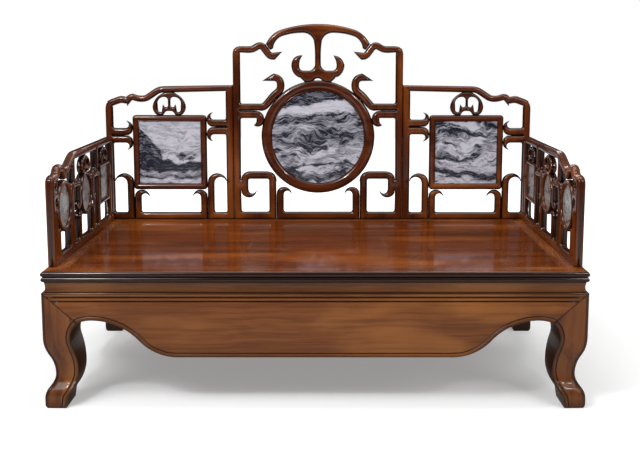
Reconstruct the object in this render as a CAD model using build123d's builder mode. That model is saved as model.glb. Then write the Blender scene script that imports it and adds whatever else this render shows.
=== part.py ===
"""Luohan daybed: a waisted hardwood platform on cabriole legs, with a lift-off railing on
three sides made of scrolled fretwork that carries round and square stone plaques.

Millimetres. X runs along the seat, -Y is the front, +Z is up. The origin is on the floor
under the middle of the seat.
"""

import os
from math import ceil, radians, sqrt

from build123d import *

os.makedirs("parts", exist_ok=True)

# Platform
seat_length = 1840.0
seat_depth = 1020.0
seat_height = 476.0
frame_width = 80.0  # mitred seat frame, seen from above
frame_thick = 36.0
bead_depth = 5.0  # how far the quirk between the two edge beads is cut in
bead_inset = 1.0  # the lower bead stands this much behind the upper one
board_thick = 14.0
board_count = 4
hairline = 0.4  # left between loose boards, and between parts listed together
tongue_reach = 8.0
tongue_thick = 6.0
batten_width = 44.0
batten_thick = 24.0
batten_tenon = 12.0
batten_count = 3

# Waist and aprons
waist_height = 36.0
waist_inset = 10.0
waist_thick = 20.0
apron_inset = 0.5
apron_thick = 26.0
apron_drop = 223.0  # from the waist to the straight lower edge
arch_rise = 128.0  # from the straight lower edge to the crown of the arch by the leg
arch_run = 290.0  # how far the sweep down from the crown reaches
arch_crown = 47.0  # from the leg's shoulder to the crown
arch_turn = 0.45  # part of the sweep, from its low end, that curves upward
groove_spacing = 14.0  # two grooves make a double bead along the top of the apron
groove_width = 2.8
groove_depth = 3.0

# Legs, by width from the outer face and by level above the floor
leg_shoulder = 118.0  # leg width where the front apron and the leg meet
leg_depth = 134.0  # the same where a side apron meets it
shoulder_drop = 104.0  # height of the mitre between apron and leg
knee_level = 250.0
ankle_level = 115.0
ankle_sweep = 31.0  # how far the outer face sweeps in at the ankle
toe_level = 36.0
toe_chamfer = 6.0
leg_throat = (97.0, 225.0)  # inner edge, front view
leg_calf = (111.0, 133.0)
leg_heel = (76.0, 40.0)
leg_sole = 70.0
side_calf = (137.0, 150.0)  # inner edge, side view
side_sole = 125.0
post_width = 56.0  # square post of the leg behind the aprons
leg_tenon = 26.0
leg_tenon_height = 20.0

# Railing
rail_inset = 5.0  # from the ends of the seat to the outer face of the railing
back_inset = 9.0  # the same at the back
member = 30.0  # usual thickness and width of a railing member
seat_gap = 0.3  # air left between pieces that lift apart
tenon_width = 50.0
tenon_thick = 10.0
tenon_depth = 20.0
tenon_gap = 0.4  # around a tenon in its mortise
mortise_spare = 2.0  # below a tenon in its mortise
back_tenon = 90.0  # from a back panel's middle to its tenons
arm_tenon = 250.0  # the same in an arm
plaque_thick = 12.0
horn_reach = 50.0  # across a horn that turns right back, from its bar to its tip
horn_rise = 4.0  # how far such a horn's tip stands past its root
flat_turn = radians(30)  # scrolls are cut as short flats, and none turns more than this

# Back, centre panel: the levels are above the seat
ring_outer = 244.0
ring_width = 45.0
ring_proud = 1.0  # how far a ring stands out beyond the members around it
ring_bevel = 9.0
ring_rise = 115.0  # from the seat to the ring
ring_gap = 121.0  # from the ring to the outer faces of the posts
crest_rise = 240.0  # from the ring to the top of the crest
shoulder_fall = 93.0  # from the top of the crest to the top of the shoulders
fret_height = 208.0
fret_touch = 12.0  # the frets' inner faces run into the ring this far below their tops
tendril_angle = 151.0  # where the tendrils come to the ring, from its right-hand side
hook_stand = 4.0  # from the ring's widest point to the middle of a hook's drop
hook_drop = 26.0
fret_drop = 65.0  # how far a fret's end hangs down from its head before it curls
fret_curl = 52.0
cloud_rise = 25.0  # from the ring to the middle of the cloud's arms
cloud_half = 97.0  # from the middle of the cloud to the middle of its upturned ends
pendant_length = 73.0  # from the top of the crest to the stem of the cloud
pendant_half = 15.0
stem_half = 10.5
stem_flare = 30.0

# Back, side panels
side_height = 585.0
outer_post_height = 519.0
bay_width = 85.4  # between a post and the square frame
square_height = 324.0
square_base = 130.0
square_member = 27.0
square_lift = 30.0  # from the cradle's points to the square frame
loop_width = 28.0
loop_height = 162.0
hook_reach = 31.0
outer_hook_level = 366.0  # where the paired hooks meet on the outer post
inner_hook_level = 402.5
side_cloud_half = 70.0
cloud_lap = 2.0  # a cloud runs this far into the rail above before it is scribed
cloud_thin = 4.0  # a cloud is thinner than the members around it

# Arms
arm_front = 72.0  # from the front edge of the seat to the front post
arm_height = 365.0
arm_member = 28.0
arm_rail_height = 26.0
disc_level = 188.0
end_disc = 92.0
disc_clear = 6.0  # from the end disc up to the rail over it
end_disc_width = 18.0
mid_disc = 84.0
mid_disc_width = 16.0
disc_flats = 24  # the small discs are cut with this many flats round them
arm_square = 170.0
arm_square_base = 103.0
arm_square_member = 20.0
arm_loop_top = 258.0
arm_loop_drop = 16.0  # a loop's inner side ends this far below the middle of the discs
arm_stile_height = 202.0
strut_shift = 22.0  # a strut stands this far towards the middle from its loop's upright
front_hook_level = 240.0
front_hook_reach = 46.0
bracket_member = 24.0
bracket_reach = 38.0
end_bracket_height = 101.0
mid_bracket_height = 112.0
arm_cloud_half = 59.0
cloud_seat = 4.0  # a cloud's feet reach this far down round the top of a disc

# Levels and places that follow
frame_base = seat_height - frame_thick
waist_base = frame_base - waist_height
apron_base = waist_base - apron_drop
boards_base = seat_height - board_thick
half_length = seat_length / 2
half_depth = seat_depth / 2
rail_base = seat_height + seat_gap
rail_outer_x = half_length - rail_inset
back_face = half_depth - back_inset - member
arm_rear = back_face - seat_gap
arm_start = -half_depth + arm_front
arm_middle = (arm_start + arm_rear) / 2
arm_half = (arm_rear - arm_start) / 2
half_member = member / 2
corner_radius = half_member + 1
centre_half = ring_outer + ring_gap
ring_centre = ring_rise + ring_outer
ring_top = ring_centre + ring_outer
centre_height = ring_top + crest_rise
side_half = (rail_outer_x - centre_half - seat_gap) / 2
side_middle = centre_half + seat_gap + side_half
arm_front_height = disc_level + end_disc + disc_clear + arm_member
plaque_front = half_member + plaque_thick / 2  # depth of a plaque's back in the railing
sides = {
    "front": ("rail", seat_length, half_depth, 0),
    "back": ("rail", seat_length, half_depth, 180),
    "left": ("end", seat_depth, half_length, -90),
    "right": ("end", seat_depth, half_length, 90),
}
back_plane = Plane(origin=(0, back_face, rail_base), x_dir=(1, 0, 0), z_dir=(0, -1, 0))
arm_plane = Plane(
    origin=(-rail_outer_x + member, arm_middle, rail_base), x_dir=(0, 1, 0), z_dir=(1, 0, 0)
)
finished = {}


# ---------------------------------------------------------------- helpers
def finish(name, piece):
    """Label a finished piece, write it out and remember it for its neighbours."""
    piece.part.label = name
    export_step(piece.part, f"parts/{name}.step")
    finished[name] = piece.part


def scribe(*names):
    """Cut the open part back to the faces of finished neighbours, so that they meet."""
    for name in names:
        add(finished[name], mode=Mode.SUBTRACT)


def trail(start, *offsets):
    """Return the points that lie at the offsets from a start."""
    return [Vector(*start) + Vector(*offset) for offset in offsets]


def arcs(start, heading, *stops):
    """Draw arcs from stop to stop, each leaving in the direction in which the last arrived."""
    for stop in stops:
        arc = TangentArc(start, stop, tangent=heading)
        start = stop
        heading = arc % 1


def plate(points, mode=Mode.ADD):
    """Fill an outline that is given by its corners."""
    with BuildLine() as outline:
        Polyline(*points, close=True)
    make_face(outline.edges(), mode=mode)


def flats(start, heading, *stops, count=None):
    """Return the points of a run of tangent arcs from stop to stop, cut as short flats."""
    points = [Vector(*start)]
    heading = Vector(*heading)
    for stop in stops:
        arc = TangentArc(points[-1], stop, tangent=heading, mode=Mode.PRIVATE)
        steps = count or ceil(arc.length / arc.radius / flat_turn)
        points += [arc @ ((step + 1) / steps) for step in range(steps)]
        heading = arc % 1
    return points


def rounded(before, corner, after, radius):
    """Return the points of a rounded corner, or the corner itself where it has no radius."""
    if not radius:
        return [corner]
    back = (before - corner).normalized()
    on = (after - corner).normalized()
    reach = radius * sqrt((1 + back.dot(on)) / (1 - back.dot(on)))
    return flats(corner + back * reach, -back, corner + on * reach)


def bar(points, radius, width):
    """Add a strip of even width along a path: its turns are round outside, mitred inside."""
    spots = [Vector(*point) for point in points]
    radii = [0, *(radius if isinstance(radius, list) else [radius] * (len(spots) - 2)), 0]
    headings = [(after - before).normalized() for before, after in zip(spots, spots[1:])]
    arriving = [headings[0], *headings]
    leaving = [*headings, headings[-1]]
    corners = []
    for side in (1, -1):
        strip = []
        for spot, before, after, turn_radius in zip(spots, arriving, leaving, radii):
            across = before.rotate(Axis.Z, 90) + after.rotate(Axis.Z, 90)
            corner = spot + across * (side * width / (2 + 2 * before.dot(after)))
            outside = side * before.cross(after).Z < 0
            edge_radius = turn_radius + width / 2 if outside else turn_radius - width / 2
            eased = turn_radius and (outside or edge_radius > width / 3)
            strip.append((corner, edge_radius if eased else 0))
        corners += strip[::side]
    outline = []
    for index, (corner, edge_radius) in enumerate(corners):
        after = corners[(index + 1) % len(corners)][0]
        outline += rounded(corners[index - 1][0], corner, after, edge_radius)
    plate(outline)


def horn(root, behind, width, tip):
    """Add the tapering curl that ends a scroll: two arcs leave the bar and meet at a point."""
    root = Vector(*root)
    ahead = (root - Vector(*behind)).normalized()
    across = ahead.rotate(Axis.Z, 90) * (width / 2)
    left = flats(root + across, ahead, tip)
    right = flats(root - across, ahead, tip, count=len(left) - 1)
    plate([*left, *right[-2::-1]])


def scroll(points, radius, width, tip=None, first_tip=None):
    """Add a bar whose ends may curl into horns."""
    bar(points, radius, width)
    if tip:
        horn(points[-1], points[-2], width, tip)
    if first_tip:
        horn(points[0], points[1], width, first_tip)


def mitre(corner, hand, rail):
    """Keep the rail's or the post's side of the mitre at an upper corner, hand -1 for left."""
    reach = seat_length
    with Locations(Location((*corner, 0), (0, 0, 45 * hand))):
        edge = Align.MIN if rail else Align.MAX
        Rectangle(reach, reach, align=(Align.CENTER, edge), mode=Mode.INTERSECT)


def frame_members(middle, level, width, height, rail):
    """Add the four mitred members of a square frame with blunted corners to the sketch."""
    blunt = rail / 3
    long_inset = rail + hairline / 2
    for across, along, turn in (
        (width, height, 0),
        (height, width, 90),
        (width, height, 180),
        (height, width, 270),
    ):
        with BuildSketch(mode=Mode.PRIVATE) as one:
            with BuildLine():
                Polyline(
                    (-across / 2 + blunt + hairline / 2, along / 2),
                    (across / 2 - blunt - hairline / 2, along / 2),
                    (across / 2 - blunt / 2 - hairline / 2, along / 2 - blunt / 2),
                    (across / 2 - long_inset, along / 2 - rail),
                    (-across / 2 + long_inset, along / 2 - rail),
                    (-across / 2 + blunt / 2 + hairline / 2, along / 2 - blunt / 2),
                    close=True,
                )
            make_face()
        add(one.sketch.rotate(Axis.Z, turn).moved(Location((middle, level))))


def cloud(middle, base, top, half):
    """Add a cloud-head ornament: two pierced curls on two feet, joined by a stem. Its points
    are parts of its half width across and of its height up."""
    for hand in (-1, 1):

        def at(across, up):
            return Vector(middle + hand * across * half, base + up * (top - base))

        brow = flats(at(0, 1), (hand, -0.15), at(0.69, 0.79), at(1.02, 0.37), at(0.76, 0))
        instep = flats(at(0.36, 0), (-hand * 0.2, 1), at(0.17, 0.17))
        plate([*brow, *instep, at(0, 0.17)])
        eye = flats(at(0.07, 0.62), (0, 1), at(0.22, 0.75), at(0.73, 0.53), at(0.7, 0.2), at(0.46, 0.14))
        plate([*eye, at(0.39, 0.44), at(0.26, 0.32), at(0.07, 0.35)], mode=Mode.SUBTRACT)


# ---------------------------------------------------------------- platform
boards_length = seat_length - 2 * frame_width
boards_depth = seat_depth - 2 * frame_width
board_width = boards_depth / board_count
hanging = (Align.CENTER, Align.CENTER, Align.MAX)
standing = (Align.CENTER, Align.CENTER, Align.MIN)

with BuildPart() as seat_boards:
    for index in range(board_count):
        middle = -boards_depth / 2 + (index + 0.5) * board_width
        front_tongue = tongue_reach if index == 0 else 0
        back_tongue = tongue_reach if index == board_count - 1 else 0
        with Locations((0, middle, boards_base)):
            Box(boards_length, board_width - hairline, board_thick, align=standing)
        with Locations((0, middle + (back_tongue - front_tongue) / 2, boards_base)):
            Box(
                boards_length + 2 * tongue_reach,
                board_width + front_tongue + back_tongue - hairline,
                tongue_thick,
                align=standing,
            )
finish("seat_boards", seat_boards)

with BuildPart() as seat_battens:
    with Locations((0, 0, boards_base)):
        with GridLocations(boards_length / (batten_count + 1), 1, batten_count, 1):
            Box(batten_width, boards_depth, batten_thick, align=hanging)
            Box(batten_width / 2, boards_depth + 2 * batten_tenon, batten_thick / 2, align=hanging)
finish("seat_battens", seat_battens)


def edge_section(reach):
    """Draw a seat frame member's section: two rounded beads with a quirk between them."""
    quirk = seat_height - frame_thick / 2
    outer = -reach
    inner = -reach + frame_width
    with BuildLine() as outline:
        Polyline(
            (outer + bead_depth, seat_height),
            (inner, seat_height),
            (inner, frame_base),
            (outer + bead_depth + bead_inset, frame_base),
        )
        ThreePointArc(
            (outer + bead_depth + bead_inset, frame_base),
            (outer + bead_inset, (frame_base + quirk) / 2),
            (outer + bead_depth, quirk),
        )
        ThreePointArc(
            (outer + bead_depth, quirk),
            (outer, (seat_height + quirk) / 2),
            (outer + bead_depth, seat_height),
        )
    make_face(outline.edges())


def mitre_ends(length, reach):
    """Cut both ends of the open part at 45 degrees to the corners of the platform."""
    for hand in (-1, 1):
        corner = (hand * length / 2, -reach, 0)
        split(bisect_by=Plane(origin=corner, z_dir=(-hand, -1, 0)), keep=Keep.TOP)


back_middle = back_face + half_member
back_tenons = {
    name: [(middle + hand * back_tenon, back_middle) for hand in (-1, 1)]
    for name, middle in (("left", -side_middle), ("centre", 0), ("right", side_middle))
}
arm_tenons = {
    name: [(hand * (rail_outer_x - half_member), arm_middle + way * arm_tenon) for way in (-1, 1)]
    for name, hand in (("left", -1), ("right", 1))
}


def tenon_blocks(spots, along, across, depth, top, gap, mode=Mode.ADD):
    """Add the flat tenons of a railing panel to the open part, or cut their mortises."""
    for x, y in spots:
        with Locations((x, y, top)):
            Box(along + 2 * gap, across + 2 * gap, depth, align=hanging, mode=mode)


leg_middle = apron_inset + apron_thick + post_width / 2
leg_spots = {
    "front_left": (-1, -1),
    "front_right": (1, -1),
    "back_left": (-1, 1),
    "back_right": (1, 1),
}

for side, (kind, length, reach, turn) in sides.items():
    with BuildPart() as seat_member:
        with BuildSketch(Plane.YZ.offset(-length / 2)):
            edge_section(reach)
        extrude(amount=length)
        mitre_ends(length, reach)
    with BuildPart() as placed:
        add(seat_member.part, rotation=(0, 0, turn))
        scribe("seat_boards", "seat_battens")
        mortise = (tenon_depth + mortise_spare, seat_height, tenon_gap, Mode.SUBTRACT)
        for spots in back_tenons.values():
            tenon_blocks(spots, tenon_width, tenon_thick, *mortise)
        for spots in arm_tenons.values():
            tenon_blocks(spots, tenon_thick, tenon_width, *mortise)
        for hand_x, hand_y in leg_spots.values():
            post = (hand_x * (half_length - leg_middle), hand_y * (half_depth - leg_middle))
            with Locations((*post, frame_base)):
                Box(leg_tenon, leg_tenon, leg_tenon_height, align=standing, mode=Mode.SUBTRACT)
    finish(f"seat_{kind}_{side}", placed)

with BuildPart() as waist_boards:
    for kind, length, reach, turn in sides.values():
        with BuildPart(mode=Mode.PRIVATE) as waist_board:
            with BuildSketch(Plane.YZ.offset(-length / 2)):
                with Locations((-reach + waist_inset, waist_base)):
                    Rectangle(waist_thick, waist_height, align=(Align.MIN, Align.MIN))
            extrude(amount=length)
            mitre_ends(length - 2 * hairline, reach)
        add(waist_board.part, rotation=(0, 0, turn))
finish("waist_boards", waist_boards)


def apron_outline(length, shoulder):
    """Draw an apron's face: straight below the waist, swept up to an arch beside each leg."""
    half = length / 2 - apron_inset
    crown = Vector(half - shoulder - arch_crown, apron_base + arch_rise)
    low = Vector(crown.X - arch_run, apron_base)
    turn = low + (crown - low) * arch_turn
    with BuildLine() as outline:
        Line((-half, waist_base), (half, waist_base))
        Line((-low.X, low.Y), (low.X, low.Y))
        for hand in (-1, 1):
            mitre_foot = (hand * (half - shoulder), waist_base - shoulder_drop)
            Line((hand * half, waist_base), mitre_foot)
            arcs(
                (hand * low.X, low.Y),
                (hand, 0),
                (hand * turn.X, turn.Y),
                (hand * crown.X, crown.Y),
                mitre_foot,
            )
    make_face(outline.edges())


for side, (kind, length, reach, turn) in sides.items():
    face = Plane.XZ.offset(reach - apron_inset)
    with BuildPart() as apron:
        with BuildSketch(face):
            apron_outline(length, leg_shoulder if kind == "rail" else leg_depth)
        extrude(amount=-apron_thick)
        with BuildSketch(face):
            for step in (1, 2):
                with Locations((0, waist_base - step * groove_spacing)):
                    Rectangle(length, groove_width)
        extrude(amount=-groove_depth, mode=Mode.SUBTRACT)
        mitre_ends(length - 2 * apron_inset, reach - apron_inset)
    with BuildPart() as placed:
        add(apron.part, rotation=(0, 0, turn))
    finish(f"apron_{side}", placed)


def inner_edge(mitre_foot, stops, sole):
    """Draw the edge of a leg that faces its apron, up from the sole."""
    if len(stops) == 1:
        ThreePointArc((sole, 0), stops[0], mitre_foot)
    else:
        heel, calf, throat = stops
        Line((sole, 0), heel)
        TangentArc(calf, heel, tangent=(0, -1))
        arcs(calf, (0, 1), throat, mitre_foot)


def leg_outline(shoulder, inner_stops, sole):
    """Draw a leg seen square on, from its outer corner: a mitred shoulder, then a cabriole
    curve that sweeps in to the ankle and out again to the toe."""
    mitre_foot = (shoulder, waist_base - shoulder_drop)
    with BuildLine() as outline:
        Line((0, knee_level), (0, waist_base))
        Line((0, waist_base), mitre_foot)
        inner_edge(mitre_foot, inner_stops, sole)
        Polyline((sole, 0), (toe_chamfer, 0), (0, toe_level / 3), (0, toe_level))
        ankle = (ankle_sweep, ankle_level)
        below = (ankle_sweep / 2, (toe_level + ankle_level) / 2)
        above = (ankle_sweep / 2, (knee_level + ankle_level) / 2)
        arcs((0, toe_level), (0, 1), below, ankle, above, (0, knee_level))
    make_face(outline.edges())


with BuildPart() as leg_pattern:
    with BuildSketch(Plane.XZ):
        leg_outline(leg_shoulder, (leg_heel, leg_calf, leg_throat), leg_sole)
    extrude(amount=2 * leg_depth, both=True)
    with BuildSketch(Plane.YZ):
        leg_outline(leg_depth, (side_calf,), side_sole)
    extrude(amount=2 * leg_depth, both=True, mode=Mode.INTERSECT)
    post_middle = apron_thick + post_width / 2
    post_base = waist_base - shoulder_drop
    with Locations((post_middle, post_middle, post_base)):
        Box(post_width, post_width, frame_base - post_base, align=standing)
    with Locations((post_middle, post_middle, frame_base)):
        Box(leg_tenon, leg_tenon, leg_tenon_height, align=standing)

for spot, (hand_x, hand_y) in leg_spots.items():
    placed_leg = leg_pattern.part.moved(
        Location((-half_length + apron_inset, -half_depth + apron_inset, 0))
    )
    if hand_x > 0:
        placed_leg = placed_leg.mirror(Plane.YZ)
    if hand_y > 0:
        placed_leg = placed_leg.mirror(Plane.XZ)
    with BuildPart() as leg:
        add(placed_leg)
        scribe("waist_boards")
    finish(f"leg_{spot}", leg)

# ---------------------------------------------------------------- back, centre panel
post_x = centre_half - half_member
post_inner = centre_half - member
shoulder_line = centre_height - shoulder_fall - half_member
shoulder_path = [
    (-post_x, 0),
    (-post_x, shoulder_line),
    *trail((-post_x, shoulder_line), (70, 0), (107, 23), (147, -31), (163, -29)),
]
shoulder_tip = Vector(-post_x + 197, shoulder_line - 9)


def by_ring(angle, reach):
    """Return the point that lies outside the big ring by a reach, at an angle round it."""
    return Vector(ring_outer + reach, 0).rotate(Axis.Z, angle) + Vector(0, ring_centre)


with BuildPart() as back_centre_ring:
    with BuildSketch(back_plane.offset(ring_proud)):
        with Locations((0, ring_centre)):
            Circle(ring_outer)
            Circle(ring_outer - ring_width, mode=Mode.SUBTRACT)
    extrude(amount=-member - 2 * ring_proud)
    chamfer(back_centre_ring.faces().sort_by(Axis.Y)[0].edges(), ring_bevel)
finish("back_centre_ring", back_centre_ring)

with BuildPart() as back_centre_stone:
    with BuildSketch(back_plane.offset(-plaque_front)):
        with Locations((0, ring_centre)):
            Circle(ring_outer - ring_width)
    extrude(amount=plaque_thick)
finish("back_centre_stone", back_centre_stone)

with BuildPart() as back_centre_stiles:
    with BuildSketch(back_plane):
        bar(shoulder_path[:3], corner_radius, member)
        mitre((-post_x, shoulder_line), -1, False)
        mirror(about=Plane.YZ)
    extrude(amount=-member)
finish("back_centre_stiles", back_centre_stiles)

with BuildPart() as back_centre_shoulders:
    with BuildSketch(back_plane):
        scroll(shoulder_path, [corner_radius, 40, corner_radius, 22], member - 2, tip=shoulder_tip)
        mitre((-post_x, shoulder_line), -1, True)
        mirror(about=Plane.YZ)
    extrude(amount=-member)
    scribe("back_centre_stiles")
finish("back_centre_shoulders", back_centre_shoulders)

pendant_base = centre_height - pendant_length
with BuildPart() as back_centre_crest:
    with BuildSketch(back_plane):
        with BuildLine() as crest_outline:
            for hand in (-1, 1):

                def on_crest(across, down):
                    return Vector(hand * across, centre_height - down)

                brow = on_crest(post_x - 200, 22)
                wing = on_crest(post_x - 128, 85)
                hollow = on_crest(post_x - 157, 103)
                arcs(on_crest(0, 0), (hand, 0), brow, wing)
                Polyline(wing, on_crest(post_x - 145, 111), hollow)
                arcs(
                    hollow,
                    (-hand * 0.1, 1),
                    on_crest(post_x - 200, 50),
                    on_crest(62, 37),
                    (hand * pendant_half, pendant_base),
                )
            Line((-pendant_half, pendant_base), (pendant_half, pendant_base))
        make_face(crest_outline.edges())
    extrude(amount=-member)
    scribe("back_centre_shoulders")
finish("back_centre_crest", back_centre_crest)

cloud_line = ring_top + cloud_rise
cloud_lip = cloud_line + 42
horn_in = 30.0  # the cloud's ends lean in and up to their points
horn_up = 39.0
foot_top = cloud_line - half_member + 2
foot_base = ring_top - 10
with BuildPart() as back_centre_cloud:
    with BuildSketch(back_plane):
        scroll(
            [
                (-cloud_half, cloud_lip),
                (-cloud_half, cloud_line),
                (cloud_half, cloud_line),
                (cloud_half, cloud_lip),
            ],
            34,
            member,
            tip=Vector(cloud_half - horn_in, cloud_lip + horn_up),
            first_tip=Vector(-cloud_half + horn_in, cloud_lip + horn_up),
        )
        for hand in (-1, 1):
            with BuildLine() as stem:
                arms_top = cloud_line + half_member
                Polyline(
                    (0, cloud_line),
                    (0, pendant_base),
                    (hand * pendant_half, pendant_base),
                    (hand * stem_half, pendant_base - 37),
                    (hand * stem_half, arms_top + stem_flare),
                )
                TangentArc(
                    (hand * stem_half, arms_top + stem_flare),
                    (hand * (stem_half + stem_flare), arms_top),
                    tangent=(0, -1),
                )
                Polyline((hand * (stem_half + stem_flare), arms_top), (0, cloud_line))
            make_face(stem.edges())
            with BuildLine() as foot:
                Polyline(
                    (hand * 78, foot_top),
                    (hand * 50, foot_base),
                    (hand * 32, foot_base),
                    (hand * 6, foot_top),
                    close=True,
                )
            make_face(foot.edges())
    extrude(amount=-member)
    scribe("back_centre_ring")
finish("back_centre_cloud", back_centre_cloud)

tendril_start = by_ring(tendril_angle, 21)
with BuildPart() as back_centre_tendrils:
    with BuildSketch(back_plane):
        scroll(
            [
                (-post_inner, tendril_start.Y),
                tendril_start,
                by_ring(137, 17),
                by_ring(128, 15),
                by_ring(122, 59),
                by_ring(126.5, 76),
            ],
            [25, 60, 22, 28],
            member - 1,
            tip=by_ring(134.6, 95),
        )
        mirror(about=Plane.YZ)
    extrude(amount=-member)
    scribe("back_centre_ring")
finish("back_centre_tendrils", back_centre_tendrils)

hook_line = tendril_start.Y - member
hook_x = ring_outer + hook_stand
hook_root = hook_line - hook_drop
with BuildPart() as back_centre_hooks:
    with BuildSketch(back_plane):
        scroll(
            [(-post_inner, hook_line), (-hook_x, hook_line), (-hook_x, hook_root)],
            20,
            member,
            tip=Vector(-hook_x - 27, hook_root - 22),
        )
        mirror(about=Plane.YZ)
    extrude(amount=-member)
    scribe("back_centre_ring")
finish("back_centre_hooks", back_centre_hooks)

fret_inner = sqrt(ring_outer**2 - (ring_centre - fret_height + fret_touch) ** 2)
fret_x = fret_inner + half_member
fret_line = fret_height - half_member
fret_end = -post_inner + half_member
fret_root = fret_line - fret_drop
with BuildPart() as back_centre_frets:
    with BuildSketch(back_plane):
        scroll(
            [
                (-post_inner, half_member),
                (-fret_x, half_member),
                (-fret_x, fret_line),
                (fret_end, fret_line),
                (fret_end, fret_root),
            ],
            22,
            member,
            tip=Vector(fret_end + fret_curl, fret_root - horn_rise),
        )
        mirror(about=Plane.YZ)
    extrude(amount=-member)
    scribe("back_centre_ring")
finish("back_centre_frets", back_centre_frets)


def cradle(left, right, top, width):
    """Add a flat-bottomed cradle whose ends curl in under what it carries."""
    low = width / 2
    root = top - horn_rise
    scroll(
        [(left, root), (left, low), (right, low), (right, root)],
        20,
        width,
        tip=Vector(right - horn_reach, top),
        first_tip=Vector(left + horn_reach, top),
    )


cradle_x = fret_inner - hairline - half_member
cradle_top = ring_rise - 3
with BuildPart() as back_centre_cradle:
    with BuildSketch(back_plane):
        cradle(-cradle_x, cradle_x, cradle_top, member)
    extrude(amount=-member)
    scribe("back_centre_ring")
    tenon_blocks(back_tenons["centre"], tenon_width, tenon_thick, tenon_depth + seat_gap, rail_base, 0)
finish("back_centre_cradle", back_centre_cradle)

# ---------------------------------------------------------------- back, left side panel
outer_post_x = -side_middle - side_half + half_member
inner_post_x = -side_middle + side_half - half_member
side_rail_line = side_height - half_member
outer_rail_line = outer_post_height - half_member
square_middle = square_base + square_height / 2
square_width = 2 * (side_half - member - bay_width)
frame_left = -side_middle - square_width / 2
frame_right = -side_middle + square_width / 2
outer_face = outer_post_x + half_member
inner_face = inner_post_x - half_member
outer_corner = (outer_post_x, outer_rail_line)
inner_corner = (inner_post_x, side_rail_line)

with BuildPart() as side_stiles:
    with BuildSketch(back_plane):
        with BuildSketch(mode=Mode.PRIVATE) as inner_stile:
            bar([(inner_post_x, 0), (inner_post_x, side_height)], 0, member)
            mitre(inner_corner, 1, False)
        with BuildSketch(mode=Mode.PRIVATE) as outer_stile:
            bar(
                [(outer_post_x, 0), outer_corner, (outer_post_x + 2 * member, outer_rail_line)],
                corner_radius,
                member,
            )
            mitre(outer_corner, -1, False)
        add(inner_stile.sketch)
        add(outer_stile.sketch)
    extrude(amount=-member)
finish("back_left_stiles", side_stiles)

with BuildPart() as side_rails:
    with BuildSketch(back_plane):
        with BuildSketch(mode=Mode.PRIVATE) as long_rail:
            notch = (outer_post_x, side_rail_line)
            scroll(
                [
                    (inner_face + member, side_rail_line),
                    *trail(notch, (218, -5), (160, -44), (128, -46), (97, -34), (84, -48)),
                ],
                [50, 35, 40, corner_radius],
                member - 4,
                tip=Vector(outer_post_x + 78, side_rail_line - 76),
            )
            mitre(inner_corner, 1, True)
        with BuildSketch(mode=Mode.PRIVATE) as short_rail:
            scroll(
                [(outer_post_x, 0), outer_corner, *trail(outer_corner, (52, 19), (78, 14))],
                corner_radius,
                member - 2,
            )
            mitre(outer_corner, -1, True)
        add(long_rail.sketch)
        add(short_rail.sketch)
    extrude(amount=-member)
    scribe("back_left_stiles")
finish("back_left_top_rail", side_rails)

with BuildPart() as side_stone:
    with BuildSketch(back_plane.offset(-plaque_front)):
        with Locations((-side_middle, square_middle)):
            Rectangle(
                square_width - 2 * square_member + 2 * tongue_reach,
                square_height - 2 * square_member + 2 * tongue_reach,
            )
    extrude(amount=plaque_thick)
finish("back_left_stone", side_stone)

with BuildPart() as side_frame:
    with BuildSketch(back_plane):
        frame_members(-side_middle, square_middle, square_width, square_height, square_member)
    extrude(amount=-member)
    scribe("back_left_stone")
finish("back_left_frame", side_frame)

with BuildPart() as side_cloud:
    with BuildSketch(back_plane):
        cloud_top = side_rail_line - half_member + cloud_lap
        cloud(-side_middle, square_base + square_height, cloud_top, side_cloud_half)
    extrude(amount=-member + cloud_thin)
    scribe("back_left_top_rail", "back_left_frame")
finish("back_left_cloud", side_cloud)

with BuildPart() as side_loops:
    with BuildSketch(back_plane):
        for post, edge, hand in ((outer_face, frame_left, 1), (inner_face, frame_right, -1)):
            upright = edge - hand * loop_width / 2
            scroll(
                [(post, loop_width / 2), (upright, loop_width / 2), (upright, loop_height - horn_rise)],
                20,
                loop_width,
                tip=Vector(post + hand / 2, loop_height),
            )
    extrude(amount=-member)
    scribe("back_left_stiles", "back_left_frame")
finish("back_left_loops", side_loops)

with BuildPart() as side_hooks:
    with BuildSketch(back_plane):
        for post, edge, hand, level in (
            (outer_face, frame_left, 1, outer_hook_level),
            (inner_face, frame_right, -1, inner_hook_level),
        ):
            root = edge - hand * hook_reach
            for way in (-1, 1):
                line = level + way * (member + hairline) / 2
                tip = Vector(root + hand * horn_rise, line + way * (2 * hook_reach - half_member))
                scroll([(post, line), (root, line)], 0, member, tip=tip)
    extrude(amount=-member)
    scribe("back_left_stiles", "back_left_frame")
finish("back_left_hooks", side_hooks)

with BuildPart() as side_cradle:
    with BuildSketch(back_plane):
        inset = hairline + loop_width / 2
        cradle(frame_left + inset, frame_right - inset, square_base - square_lift, loop_width)
    extrude(amount=-member)
    scribe("back_left_frame")
    tenon_blocks(back_tenons["left"], tenon_width, tenon_thick, tenon_depth + seat_gap, rail_base, 0)
finish("back_left_cradle", side_cradle)

# ---------------------------------------------------------------- left arm
front_post_t = -arm_half + half_member
rear_post_t = arm_half - half_member
post_face_t = arm_half - member
half_arm_member = arm_member / 2
lap = 1.0  # how far the discs run into the uprights beside them before they are scribed
stile_t = -post_face_t + half_member
end_disc_t = -post_face_t + member + end_disc - lap
upright_t = end_disc_t + end_disc - lap + half_arm_member
loop_side_t = -mid_disc + lap - half_arm_member
arm_rail_line = arm_height - half_arm_member
front_rail_line = arm_front_height - half_arm_member
square_t = -upright_t + half_arm_member + arm_square / 2
square_level = arm_square_base + arm_square / 2
rear_stile_t = square_t + arm_square / 2 + half_arm_member
arm_corner = half_arm_member + 1
front_corner = (front_post_t, front_rail_line)
rear_corner = (rear_post_t, arm_rail_line)

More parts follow.
